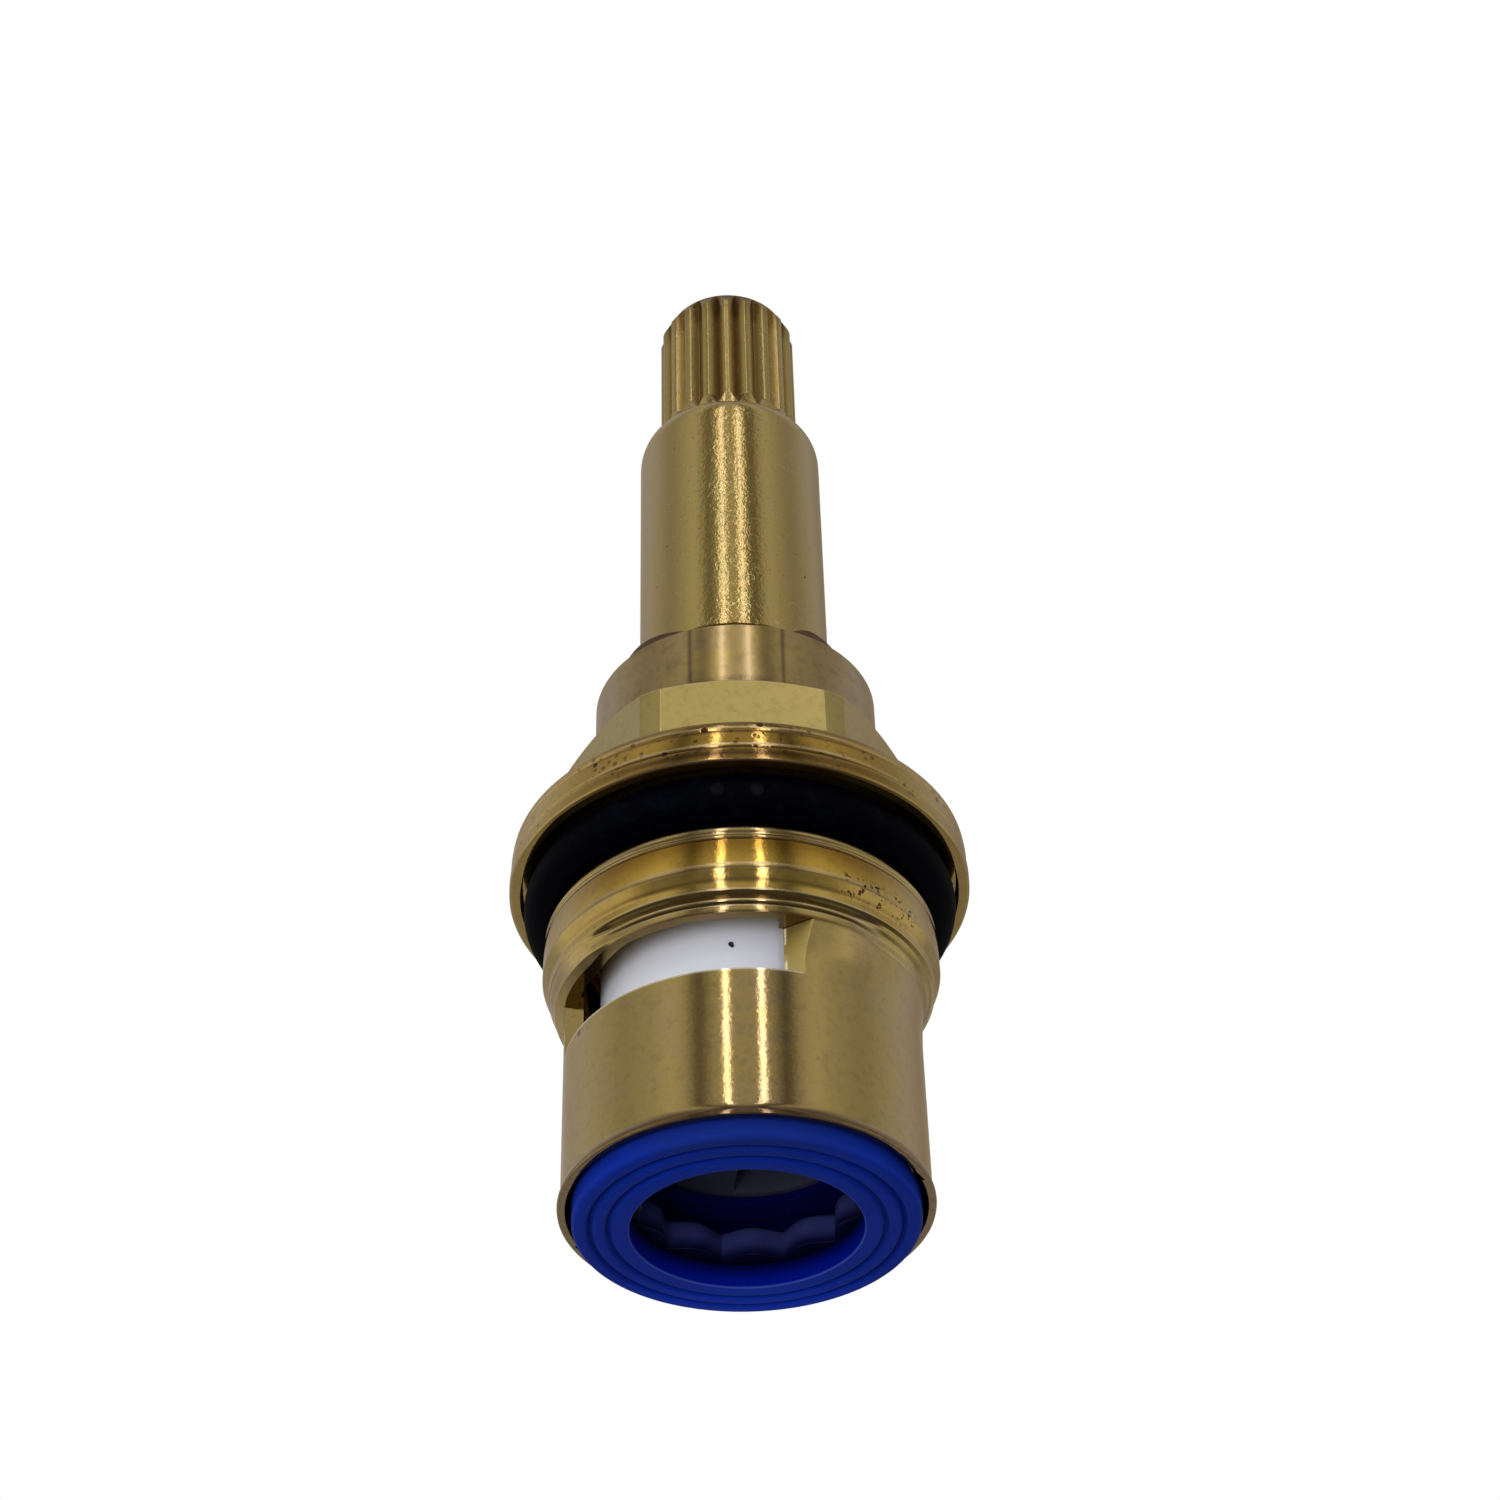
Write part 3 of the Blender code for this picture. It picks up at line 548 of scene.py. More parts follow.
def bottom_seal():
    """Blue seal: a turned section with three rings on its face and a wall in the bore."""
    bearings = full_turn(RING_SIDES)
    outline = [
        (5.66, 0.0, 0.07),
        (6.43, 0.0, 0.10),
        (6.64, 0.22, 0.07),
        (6.84, 0.03, 0.10),
        (7.33, 0.03, 0.12),
        (7.53, 0.27, 0.07),
        (7.74, 0.06, 0.10),
        (8.26, 0.07, 0.14),
        (SEAL_RIM_R, 0.28, 0.10),
        (SEAL_RIM_R, SEAL_RIM_TOP, 0.06),
        (SEAL_WALL_R, SEAL_RIM_TOP, 0.05),
        (SEAL_WALL_R, SEAL_TOP, 0.10),
        (SEAL_POCKET_R, SEAL_TOP, 0.10),
        (SEAL_POCKET_R, SEAL_LIP_TOP, 0.10),
        (SEAL_HOLE_R, SEAL_LIP_TOP, 0.08),
        (SEAL_HOLE_R, 0.10, 0.06),
    ]
    points, faces = spun(profile(outline, bearings, 5), bearings)
    nodes = ["bottom_seal"]
    return make_piece("bottom_seal_blue", points, faces, "housing", nodes)


def noise_damper():
    """Insert with twelve round lobes: the inner radius falls by a lobe's depth times the
    size of the cosine of six times the bearing."""
    bearings = full_turn(DAMPER_SIDES)
    lobe = np.abs(np.cos(np.radians(6.0 * (bearings + LOBE_TURN))))
    inner = DAMPER_INNER_R - LOBE_DEPTH * lobe
    outline = [
        (inner, DAMPER_BOTTOM, 0.05),
        (DAMPER_R, DAMPER_BOTTOM, 0.08),
        (DAMPER_R, DAMPER_TOP, 0.08),
        (inner + 0.34, DAMPER_TOP, 0.20),
        (inner + 0.08, DAMPER_TOP - 0.17, 0.20),
        (inner, DAMPER_TOP - 0.50, 0.25),
    ]
    points, faces = spun(profile(outline, bearings), bearings)
    nodes = ["noise_damper"]
    return make_piece("noise_damper_lobed", points, faces, "housing", nodes)


def bent(outline, bearings):
    """Points and faces of a rounded bar bent round the axis, from first to last bearing."""
    grid = profile(outline, bearings, 5)
    points, faces = spun(grid, bearings)
    rows, columns = grid.shape[:2]
    faces = np.array(faces).reshape(rows, columns, 4)[:, :-1].reshape(-1, 4).tolist()
    ring = np.arange(rows) * columns
    return points, faces + [ring.tolist(), (ring + columns - 1)[::-1].tolist()]


def retaining_clip():
    """Open spring clip, a hair to the left; its height tapers as a sine towards both ends."""
    bearings = np.linspace(CLIP_START, CLIP_END, CLIP_STEPS)
    first = (bearings - CLIP_START + 2.0) / CLIP_TAPERS[0]
    last = (CLIP_END + 2.0 - bearings) / CLIP_TAPERS[1]
    full = np.clip(np.minimum(first, last), 0.0, 1.0)
    top = CLIP_THIN_TOP + CLIP_RISE * np.sin(full * math.pi / 2)
    outline = [
        (CLIP_INNER_R, CLIP_BOTTOM, 0.10),
        (CLIP_OUTER_R, CLIP_BOTTOM, 0.12),
        (CLIP_OUTER_R, top, 0.14),
        (CLIP_INNER_R, top, 0.10),
    ]
    points, faces = bent(outline, bearings)
    points[:, 0] -= CLIP_LEFT
    body = "spindle_assembly"
    nodes = ["retaining_clip"]
    return make_piece("retaining_clip_bronze", points, faces, body, nodes)


def disc_walls():
    """Two curved walls around the upper disc, the second half a turn from the first."""
    outline = [
        (WALL_INNER_R, WALL_BOTTOM, 0.02),
        (WALL_OUTER_R, WALL_BOTTOM + 0.04, 0.04),
        (WALL_OUTER_R, WALL_TOP, 0.06),
        (WALL_SHELF_R, WALL_TOP, 0.06),
        (WALL_SHELF_R, WALL_SHELF, 0.02),
        (WALL_INNER_R, WALL_SHELF, 0.02),
    ]
    points, faces = bent(outline, np.linspace(WALL_START, WALL_END, WALL_STEPS))
    faces += [[corner + len(points) for corner in face] for face in faces]
    points = np.vstack([points, points * (-1.0, -1.0, 1.0)])
    body = "spindle_assembly"
    return make_piece("disc_walls_white", points, faces, body, [])


# Materials


class Value:
    """A number in a material, with ordinary arithmetic."""

    def __init__(self, look, socket):
        self.look = look
        self.socket = socket

    def math(self, operation, *numbers):
        """Add a Math node for an operation on numbers or values."""
        node = self.look.nodes.new("ShaderNodeMath")
        node.operation = operation
        for slot, number in zip(node.inputs, numbers):
            self.look.put(slot, number)
        return Value(self.look, node.outputs[0])

    def __add__(self, other):
        return self.math("ADD", self, other)

    def __sub__(self, other):
        return self.math("SUBTRACT", self, other)

    def __rsub__(self, other):
        return self.math("SUBTRACT", other, self)

    def __mul__(self, other):
        return self.math("MULTIPLY", self, other)

    def __truediv__(self, other):
        return self.math("DIVIDE", self, other)

    __radd__ = __add__
    __rmul__ = __mul__

    def absolute(self):
        return self.math("ABSOLUTE", self)

    def root(self):
        return self.math("SQRT", self)

    def greatest(self, other):
        return self.math("MAXIMUM", self, other)

    def step(self, low, high):
        """Go smoothly from 0 at low to 1 at high."""
        settings = {"interpolation_type": "SMOOTHSTEP"}
        inputs = {"Value": self, "From Min": low, "From Max": high}
        node = self.look.add("ShaderNodeMapRange", settings, inputs)
        return Value(self.look, node.outputs["Result"])

    def band(self, low, high, soft):
        """1 between low and high, falling to 0 over a soft edge on both sides."""
        return self.step(low - soft, low + soft) * (1.0 - self.step(high - soft, high + soft))

    def bell(self, centre, width):
        """1 at the centre, falling off like exp(-(distance / width) squared)."""
        away = (self - centre) / width
        return self.math("EXPONENT", 0.0 - away * away)


class Look:
    """A node tree that is filled from top to bottom."""

    def __init__(self, tree):
        self.tree = tree
        self.nodes = tree.nodes

    def put(self, slot, value):
        """Give a socket a number, a colour or a link."""
        if isinstance(value, Value):
            value = value.socket
        if isinstance(value, bpy.types.NodeSocket):
            self.tree.links.new(value, slot)
        elif slot.type == "RGBA" and len(value) == 3:
            slot.default_value = (*value, 1.0)
        else:
            slot.default_value = value

    def add(self, kind, settings, inputs):
        """Add a node: its settings first, then its inputs by name or place."""
        node = self.nodes.new(kind)
        for name, value in settings.items():
            setattr(node, name, value)
        for name, value in inputs.items():
            self.put(node.inputs[name], value)
        return node

    def place(self):
        """The point being shaded, as a vector in millimetres."""
        here = self.add("ShaderNodeTexCoord", {}, {}).outputs["Object"]
        inputs = {0: here, "Scale": 1.0 / MM}
        return self.add("ShaderNodeVectorMath", {"operation": "SCALE"}, inputs).outputs[0]

    def parts(self, vector):
        """The x, y and z of a vector."""
        node = self.add("ShaderNodeSeparateXYZ", {}, {0: vector})
        return [Value(self, node.outputs[axis]) for axis in range(3)]

    def stretched(self, vector, across, along):
        """Squeeze a place: so many units a millimetre across the axis and along it."""
        node = self.add("ShaderNodeVectorMath", {"operation": "MULTIPLY"}, {0: vector})
        node.inputs[1].default_value = (across, across, along)
        return node.outputs[0]

    def noise(self, vector, scale, detail=2.0, roughness=0.5):
        """Smooth noise about a half."""
        inputs = {"Vector": vector, "Scale": scale, "Detail": detail, "Roughness": roughness}
        return Value(self, self.add("ShaderNodeTexNoise", {}, inputs).outputs["Fac"])

    def spots(self, vector, scale):
        """Distance to the nearest of scattered points, in cells."""
        inputs = {"Vector": vector, "Scale": scale}
        return Value(self, self.add("ShaderNodeTexVoronoi", {}, inputs).outputs["Distance"])

    def bands(self, height, rows):
        """Sum of bands around the axis, each from its low to its high end."""
        total = 0.0
        for low, high, soft, strength in rows:
            total = height.band(low, high, soft) * strength + total
        return total

    def lines(self, height, rows):
        """Sum of soft lines around the axis, each at its height."""
        total = 0.0
        for centre, width, strength in rows:
            total = height.bell(centre, width) * strength + total
        return total

    def marks(self, vector, rows):
        """Small round marks: 1 at each given point, 0 from its size away."""
        total = 0.0
        for point, size in rows:
            inputs = {0: vector, 1: point}
            node = self.add("ShaderNodeVectorMath", {"operation": "DISTANCE"}, inputs)
            total = 1.0 - Value(self, node.outputs["Value"]).step(size * 0.6, size) + total
        return total

    def mix(self, factor, first, second):
        """The first colour at factor 0 and the second one at 1."""
        node = self.add("ShaderNodeMix", {"data_type": "RGBA"}, {0: factor, 6: first, 7: second})
        return node.outputs[2]

    def bump(self, height, distance, below=None):
        """Raise the surface by height times a distance in millimetres."""
        inputs = {"Height": height, "Distance": distance * MM}
        if below:
            inputs["Normal"] = below
        return self.add("ShaderNodeBump", {}, inputs).outputs["Normal"]

    def finish(self, colour, roughness, normal, **others):
        """The one shader of the material; others are its further sockets by name."""
        inputs = {"Base Color": colour, "Roughness": roughness, "Normal": normal}
        shader = self.add("ShaderNodeBsdfPrincipled", {}, inputs)
        for name, value in others.items():
            self.put(shader.inputs[name.replace("_", " ")], value)
        output = self.add("ShaderNodeOutputMaterial", {}, {"Surface": shader.outputs[0]})
        output.is_active_output = True


def new_look(name):
    """Make an empty material and the look that fills it."""
    made = bpy.data.materials.new(name)
    made.use_nodes = True
    made.node_tree.nodes.clear()
    return made, Look(made.node_tree)


def from_axis(x, y):
    """Distance of a point from the axis."""
    return (x * x + y * y).root()


# Colours of the brass
OLIVE = (0.47, 0.335, 0.100)
PALE_GOLD = (0.64, 0.41, 0.070)
DEEP_GOLD = (0.31, 0.155, 0.014)
SATIN = (0.45, 0.350, 0.100)
PINKISH = (0.45, 0.315, 0.14)
FACET_HIGHLIGHT = (0.80, 0.62, 0.19)
BURR_GLINT = (1.0, 0.92, 0.70)
STAIN_AND_SHADE = (0.16, 0.09, 0.035)
TARNISH = (0.14, 0.08, 0.016)
GRIME_AND_SHADE = (0.058, 0.024, 0.006)
WORN_AND_HIGHLIGHT = (0.62, 0.50, 0.30)

# Colours of the other materials; a pair is mixed by a noise
BRONZE = ((0.08, 0.042, 0.022), (0.19, 0.105, 0.055))
RUBBER = ((0.0006, 0.0008, 0.0022), (0.0025, 0.0030, 0.0060))
RUBBER_GLINT = (0.05, 0.05, 0.06)
BLUE = ((0.005, 0.027, 0.32), (0.009, 0.037, 0.42))
BLUE_LIT_BACK = (0.010, 0.048, 0.58)
BLUE_SHADED_FRONT = (0.012, 0.030, 0.20)
BLUE_GROOVE_SHADE = (0.001, 0.016, 0.22)
BLUE_RIM_HIGHLIGHT = (0.10, 0.14, 0.45)
BLUE_HOLE_SHADE = (0.001, 0.009, 0.28)
BLUE_POCKET_SHADE = (0.0008, 0.0015, 0.045)
BLUE_DUST = (0.06, 0.10, 0.42)
NAVY = ((0.030, 0.040, 0.17), (0.044, 0.056, 0.22))
NAVY_SHADE = (0.002, 0.003, 0.03)
WHITE_CERAMIC = ((0.84, 0.87, 0.93), (0.90, 0.92, 0.97))
SPECK = (0.02, 0.02, 0.03)
GREY_CERAMIC = ((0.085, 0.085, 0.15), (0.11, 0.11, 0.18))
SHADED_STEEL = ((0.004, 0.004, 0.12), (0.008, 0.008, 0.19))
WHITE_PLASTIC = ((0.66, 0.66, 0.62), (0.74, 0.74, 0.71))

# Heights of the hexagon and neck; the hexagon's edge is given as height plus slope times radius
HEX_ZONE = (22.0, 27.9)
NECK_ZONE = (27.9, 32.2)
HEX_EDGE = (32.44, 32.52)

# Sine and cosine of the windows' turn, and the torn edge's distance along the milled face
WINDOW_SINE = 0.5
WINDOW_COSINE = 0.866
BURR_ALONG = 5.84

# Low and high end, soft edge and strength of the bright bands
FRESH_BANDS = (
    (14.3, 16.0, 0.12, 1.0),
    (19.2, 22.0, 0.05, 0.85),
    (13.1, 14.1, 0.06, 0.6),
)

# Height, half-width and strength of the painted highlights on the edges and of the painted shade
# in the corners
EDGE_HIGHLIGHTS = (
    (12.38, 0.05, 0.8),
    (12.72, 0.05, 0.9),
    (13.12, 0.05, 0.8),
    (14.38, 0.08, 0.7),
    (16.21, 0.06, 0.9),
    (16.60, 0.07, 0.5),
    (19.37, 0.05, 0.6),
    (20.33, 0.07, 0.9),
    (21.42, 0.07, 0.9),
)
CORNER_SHADE_LINES = (
    (1.25, 0.25, 0.8),
    (12.02, 0.10, 0.8),
    (12.55, 0.06, 1.1),
    (12.90, 0.06, 0.8),
    (13.62, 0.10, 0.7),
    (14.17, 0.05, 0.7),
    (16.02, 0.05, 0.8),
    (16.38, 0.05, 0.8),
    (19.30, 0.04, 0.9),
    (19.74, 0.30, 1.0),
    (20.16, 0.05, 0.9),
    (21.14, 0.10, 0.9),
    (21.68, 0.18, 0.6),
)

# Place and size of the single marks
BODY_NICKS = (
    ((-1.56, -11.72, 21.32), 0.22),
    ((-3.52, -11.37, 20.13), 0.20),
    ((1.21, -11.74, 21.57), 0.20),
    ((-2.35, -11.60, 21.80), 0.16),
    ((10.10, -6.29, 20.90), 0.18),
    ((-7.03, -9.60, 21.01), 0.18),
    ((-7.94, -4.13, 8.75), 0.20),
)
SHANK_PITS = (
    ((4.03, -3.32, 39.06), 0.10),
    ((-3.60, -3.78, 41.20), 0.07),
)
DISC_SPECK = (((-0.47, -7.14, 11.70), 0.17), ((-0.41, -7.14, 11.58), 0.13))
RING_GLINTS = (((-0.97, -11.06, 18.16), 0.40), ((0.97, -11.06, 18.10), 0.40))


def body_brass():
    """Turned brass: gold on the collar and flange, olive on the tube, satin on the hexagon."""
    made, look = new_look("body_brass")
    here = look.place()
    x, y, z = look.parts(here)
    radius = from_axis(x, y)
    aside = x.absolute()
    rings = look.noise(look.stretched(here, 0.25, 6.0), 1.0, 3.0, 0.6)
    cloud = look.noise(here, 0.35, 3.0)
    mottle = look.noise(here, 2.2, 4.0, 0.6)
    blotch = look.noise(here, 0.8, 4.0, 0.6)
    grain = look.noise(here, 5.0, 2.0)

    # Turned zones; the gold fades towards both sides and is paler on the left, as painted light
    fresh = look.bands(z, FRESH_BANDS) * (1.0 - 0.6 * aside.step(5.0, 9.5))
    satin = z.band(*HEX_ZONE, 0.1)
    dull = z.band(*NECK_ZONE, 0.1)
    pale = z.step(18.0, 20.0) * (1.0 - 0.62 * x.step(-11.0, -3.0))
    gold = look.mix(z.step(14.3, 15.9) * (1.0 - pale), PALE_GOLD, DEEP_GOLD)
    colour = look.mix(cloud.step(0.45, 0.65) * 0.6, OLIVE, PINKISH)
    colour = look.mix(fresh * (0.75 + 0.4 * rings), colour, gold)
    colour = look.mix(satin, colour, SATIN)
    # Painted shade at the foot of the neck; the neck darker towards both sides, the lip darker
    # at the bottom, and mottled stains
    stains_and_shade = dull * aside.step(1.8, 3.2) * 0.34 + z.band(27.9, 28.35, 0.15) * 0.3
    stains_and_shade = stains_and_shade + (1.0 - z.step(1.2, 1.5)) * 0.7 + mottle.step(0.45, 0.72) * 0.22
    colour = look.mix(stains_and_shade, colour, STAIN_AND_SHADE)

    # Painted highlights on the edges and painted shade in the corners, both fading towards the
    # sides; the hexagon's chamfer gets the painted highlight too
    away = aside.step(4.0, 9.5)
    edged = 1.0 - (x - 0.3).absolute().step(5.6, 7.0) * z.band(12.0, 13.3, 0.1)
    worn = look.lines(z, EDGE_HIGHLIGHTS) * (0.55 + 0.9 * cloud) * edged * (1.0 - 0.8 * away)
    worn = worn + (z + radius * HEX_SLOPE).step(*HEX_EDGE) * satin * 0.5
    colour = look.mix(worn * 0.75, colour, WORN_AND_HIGHLIGHT)
    corner_shade = look.lines(z, CORNER_SHADE_LINES) * (0.6 + 0.8 * rings) * edged * (1.0 - 0.85 * away)
    colour = look.mix(corner_shade * 0.85, colour, GRIME_AND_SHADE)

    # Stains on the neck, and two dark lines painted on its front as reflections of the dark
    # panels
    front = 1.0 - y.step(-1.0, 1.0)
    reflection_lines = (x.bell(-2.31, 0.12) + x.bell(2.57, 0.12)) * front * 1.5
    stains_and_reflections = dull * (blotch.step(0.46, 0.66) * aside.step(0.9, 2.6) * 0.6 + reflection_lines)
    colour = look.mix(stains_and_reflections * 0.6 + blotch.step(0.66, 0.74) * 0.3, colour, STAIN_AND_SHADE)

    # Milled faces at the right of the windows, painted bright in place of a reflection, and
    # painted glints on their torn edge and on the rim below
    outward = (x * WINDOW_SINE + y * WINDOW_COSINE).absolute()
    along = (x * WINDOW_COSINE - y * WINDOW_SINE).absolute()
    facet = outward.bell(WINDOW_PLANE, 0.04) * x.step(0.0, 1.0)
    facet = facet * z.band(WINDOW_BOTTOM, WINDOW_TOP - 0.05, 0.03)
    colour = look.mix(facet, colour, FACET_HIGHLIGHT)
    burr_glints = facet * along.bell(BURR_ALONG, 0.07) * blotch.step(0.35, 0.45)
    rim_highlight = z.bell(WINDOW_BOTTOM - 0.03, 0.06) * outward.step(5.75, 5.95)
    burr_glints = burr_glints + rim_highlight * radius.step(8.88, 8.93) * 0.5
    colour = look.mix(burr_glints, colour, BURR_GLINT)

    # Pits on the flange, torn metal at the right and single nicks
    pits = 1.0 - look.spots(here, 2.1).step(0.17, 0.36)
    slope = z.band(13.5, 14.75, 0.15) * x.band(5.0, 8.8, 0.5)
    edge = z.band(15.8, 16.0, 0.1) * x.band(4.0, 7.5, 0.5)
    torn = look.noise(here, 3.4, 2.0, 0.6).step(0.585, 0.63) * (slope + edge)
    pitted = pits * z.band(19.5, 21.8, 0.2) * 0.6 + torn
    pitted = pitted * blotch.step(0.44, 0.52) + look.marks(here, BODY_NICKS)
    colour = look.mix(pitted, colour, GRIME_AND_SHADE)

    roughness = 0.06 + 0.05 * rings + satin * 0.24 + dull * 0.13 + worn * 0.20 + facet * 0.45
    normal = look.bump(rings, 0.007)
    normal = look.bump(grain - pitted * 1.5, 0.003, normal)
    metal = 1.0 - 0.25 * corner_shade - burr_glints
    clear = (0.50 - fresh * 0.45 - satin * 0.2) * (1.0 - corner_shade)
    look.finish(
        colour, roughness, normal, Metallic=metal, Coat_Weight=clear, Coat_Roughness=0.06
    )
    return made


def spindle_brass():
    """Drawn brass, finely speckled, scratched, and dark in the spline's grooves."""
    made, look = new_look("spindle_brass")
    here = look.place()
    x, y, z = look.parts(here)
    radius = from_axis(x, y)
    streaks = look.noise(look.stretched(here, 2.2, 0.25), 1.0, 3.0, 0.6)
    speckle = look.noise(here, 4.0, 3.0, 0.6)
    cloud = look.noise(here, 0.4, 3.0)
    colour = look.mix(cloud.step(0.45, 0.7) * 0.7, OLIVE, SATIN)
    colour = look.mix(speckle.step(0.60, 0.74) * 0.4, colour, STAIN_AND_SHADE)

    # Painted shade on both sides and under the clip, and a darker spline and tip
    spline = z.step(52.8, 53.5)
    grooved = z.step(52.25, 52.45) * (1.0 - radius.step(3.62, 3.97))
    side_shade = x.absolute().step(2.4, 3.6) * 0.16 * (1.0 - spline)
    tip = z.step(59.4, 61.6) * (0.35 + 0.3 * grooved)
    shade_under_clip = z.band(31.9, 34.1, 0.02) * (1.0 - radius.step(4.9, 5.1))
    colour = look.mix(side_shade, colour, STAIN_AND_SHADE)
    colour = look.mix(spline * 0.12 + grooved * 0.62 + tip, colour, TARNISH)
    colour = look.mix(shade_under_clip * 0.9, colour, GRIME_AND_SHADE)

    # Curled scratches and two pits
    curls = look.noise(here, 1.3, 1.0).bell(0.5, 0.006)
    curls = curls * look.noise(here, 0.9, 1.0).step(0.55, 0.60)
    colour = look.mix(curls * 0.5, colour, WORN_AND_HIGHLIGHT)
    colour = look.mix(look.marks(here, SHANK_PITS), colour, GRIME_AND_SHADE)

    roughness = 0.08 + 0.06 * speckle + 0.11 * spline + 0.10 * grooved
    normal = look.bump(speckle, 0.017)
    normal = look.bump(look.noise(here, 7.0, 2.0), 0.006, normal)
    normal = look.bump(streaks, 0.004, normal)
    normal = look.bump(curls, 0.006, normal)
    clear = 0.46 - 0.26 * spline - 0.2 * grooved
    look.finish(
        colour, roughness, normal, Metallic=1.0, Coat_Weight=clear, Coat_Roughness=0.08
    )
    return made


def spring_bronze():
    """Dark bronze of the clip."""
    made, look = new_look("spring_bronze")
    here = look.place()
    cloud = look.noise(here, 1.5, 3.0)
    colour = look.mix(cloud, *BRONZE)
    normal = look.bump(look.noise(here, 8.0), 0.004)
    look.finish(colour, 0.30 + 0.2 * cloud, normal, Metallic=1.0)
    return made


def black_rubber():
    """Greased black rubber: faint cloudy film, low sheen."""
    made, look = new_look("black_rubber")
    here = look.place()
    film = look.noise(here, 0.9, 4.0, 0.6)
    colour = look.mix(film.step(0.5, 0.75), *RUBBER)
    colour = look.mix(look.marks(here, RING_GLINTS) * film * 0.2, colour, RUBBER_GLINT)
    normal = look.bump(look.noise(here, 2.5, 3.0), 0.006)
    look.finish(colour, 0.42 + 0.2 * film, normal, Specular_IOR_Level=0.02)
    return made


def blue_silicone():
    """Moulded blue silicone with faint flow marks and dust, and painted light and shade on its
    face, in its hole and in its pocket.
    """
    made, look = new_look("blue_silicone")
    here = look.place()
    x, y, z = look.parts(here)
    radius = from_axis(x, y)
    flow = look.noise(here, 0.6, 3.0)
    dust = look.noise(here, 6.0, 2.0).step(0.70, 0.78)
    colour = look.mix(flow, *BLUE)
    # The far side painted lighter and the near side painted darker, as light falls
    colour = look.mix(y.step(4.0, 7.5) * 0.8, colour, BLUE_LIT_BACK)
    colour = look.mix((1.0 - y.step(-8.0, -6.0)) * 0.6, colour, BLUE_SHADED_FRONT)
    # Painted shade in the two grooves between the rings
    grooves = (radius.bell(6.66, 0.15) + radius.bell(7.54, 0.16)) * (1.0 - z.step(0.5, 0.7))
    colour = look.mix(grooves * 0.8, colour, BLUE_GROOVE_SHADE)
    # Painted highlight on the rim of the hole
    edge = radius.bell(5.66, 0.04) * (1.0 - z.step(0.05, 0.12))
    colour = look.mix(edge * 0.5, colour, BLUE_RIM_HIGHLIGHT)
    # Painted shade on the wall of the hole and deep in the pocket
    hole = (1.0 - radius.step(5.62, 5.72)) * z.step(0.05, 0.15)
    colour = look.mix(hole, colour, BLUE_HOLE_SHADE)
    pocket = z.step(0.3, 1.3) * (1.0 - radius.step(7.2, 7.5))
    colour = look.mix(pocket, colour, BLUE_POCKET_SHADE)
    colour = look.mix(dust * 0.2, colour, BLUE_DUST)
    normal = look.bump(look.noise(here, 3.0, 3.0), 0.005)
    look.finish(colour, 0.30 + 0.12 * flow, normal, Specular_IOR_Level=0.015)
    return made


def navy_plastic():
    """Smooth dark insert, painted nearly black as shade on the face towards the hole."""
    made, look = new_look("navy_plastic")
    here = look.place()
    x, y, z = look.parts(here)
    cloud = look.noise(here, 1.2, 2.0)
    colour = look.mix(cloud, *NAVY)
    # Painted shade: nearly black towards the lower end
    colour = look.mix(z.step(1.6, 2.5), NAVY_SHADE, colour)
    look.finish(colour, 0.30 + 0.1 * cloud, look.bump(cloud, 0.01), Specular_IOR_Level=0.3)
    return made


def white_ceramic():
    """Ground white ceramic with one dark speck."""
    made, look = new_look("white_ceramic")
    here = look.place()
    cloud = look.noise(here, 0.8, 3.0)
    colour = look.mix(cloud, *WHITE_CERAMIC)
    colour = look.mix(look.marks(here, DISC_SPECK), colour, SPECK)
    look.finish(colour, 0.30 + 0.1 * cloud, look.bump(look.noise(here, 6.0, 2.0), 0.002))
    return made


def grey_ceramic():
    """Lapped grey ceramic of the lower disc."""
    made, look = new_look("grey_ceramic")
    here = look.place()
    cloud = look.noise(here, 0.8, 3.0)
    colour = look.mix(cloud, *GREY_CERAMIC)
    look.finish(colour, 0.35 + 0.1 * cloud, look.bump(look.noise(here, 6.0, 2.0), 0.002))
    return made


def shaded_steel():
    """Steel of the hidden ring, painted dark blue as the shade it lies in."""
    made, look = new_look("shaded_steel")
    cloud = look.noise(look.stretched(look.place(), 1.0, 6.0), 1.0, 3.0)
    colour = look.mix(cloud, *SHADED_STEEL)
    roughness = 0.45 + 0.2 * cloud
    normal = look.bump(cloud, 0.006)
    look.finish(colour, roughness, normal, Metallic=0.3, Specular_IOR_Level=0.1)
    return made


def white_plastic():
    """Moulded slip washer."""
    made, look = new_look("white_plastic")
    here = look.place()
    cloud = look.noise(here, 1.5, 3.0)
    colour = look.mix(cloud, *WHITE_PLASTIC)
    look.finish(colour, 0.45 + 0.1 * cloud, look.bump(look.noise(here, 6.0), 0.003))
    return made


# Surroundings

# Strip lights and boxes of the studio, by bearing and height in degrees
STRIP_MIDDLE = 1.2
STRIP_SIDES = (9.4, 13.2)
STRIP_HEIGHTS = (-35.0, 62.0)
BOX_SIDES = (56.0, 116.0)
BOX_HEIGHTS = (-26.0, 20.0)
LOW_HEIGHTS = (-36.0, 2.0)

# Lamp for the disc and the seal: size and distance in metres, power in watts
LAMP_SIZE = 0.25
LAMP_POWER = 0.56
LAMP_DISTANCE = 0.40
LAMP_AIM = (0.0, 0.0, 0.010)
LAMP_TOWARDS = (-0.35, -0.82, -0.42)

# Floor below the part, and where it fades out
FLOOR_R = 90.0
FLOOR_Z = -0.2
FLOOR_FADE = (30.0, 85.0)
FLOOR_COLOUR = (0.93, 0.93, 0.92)


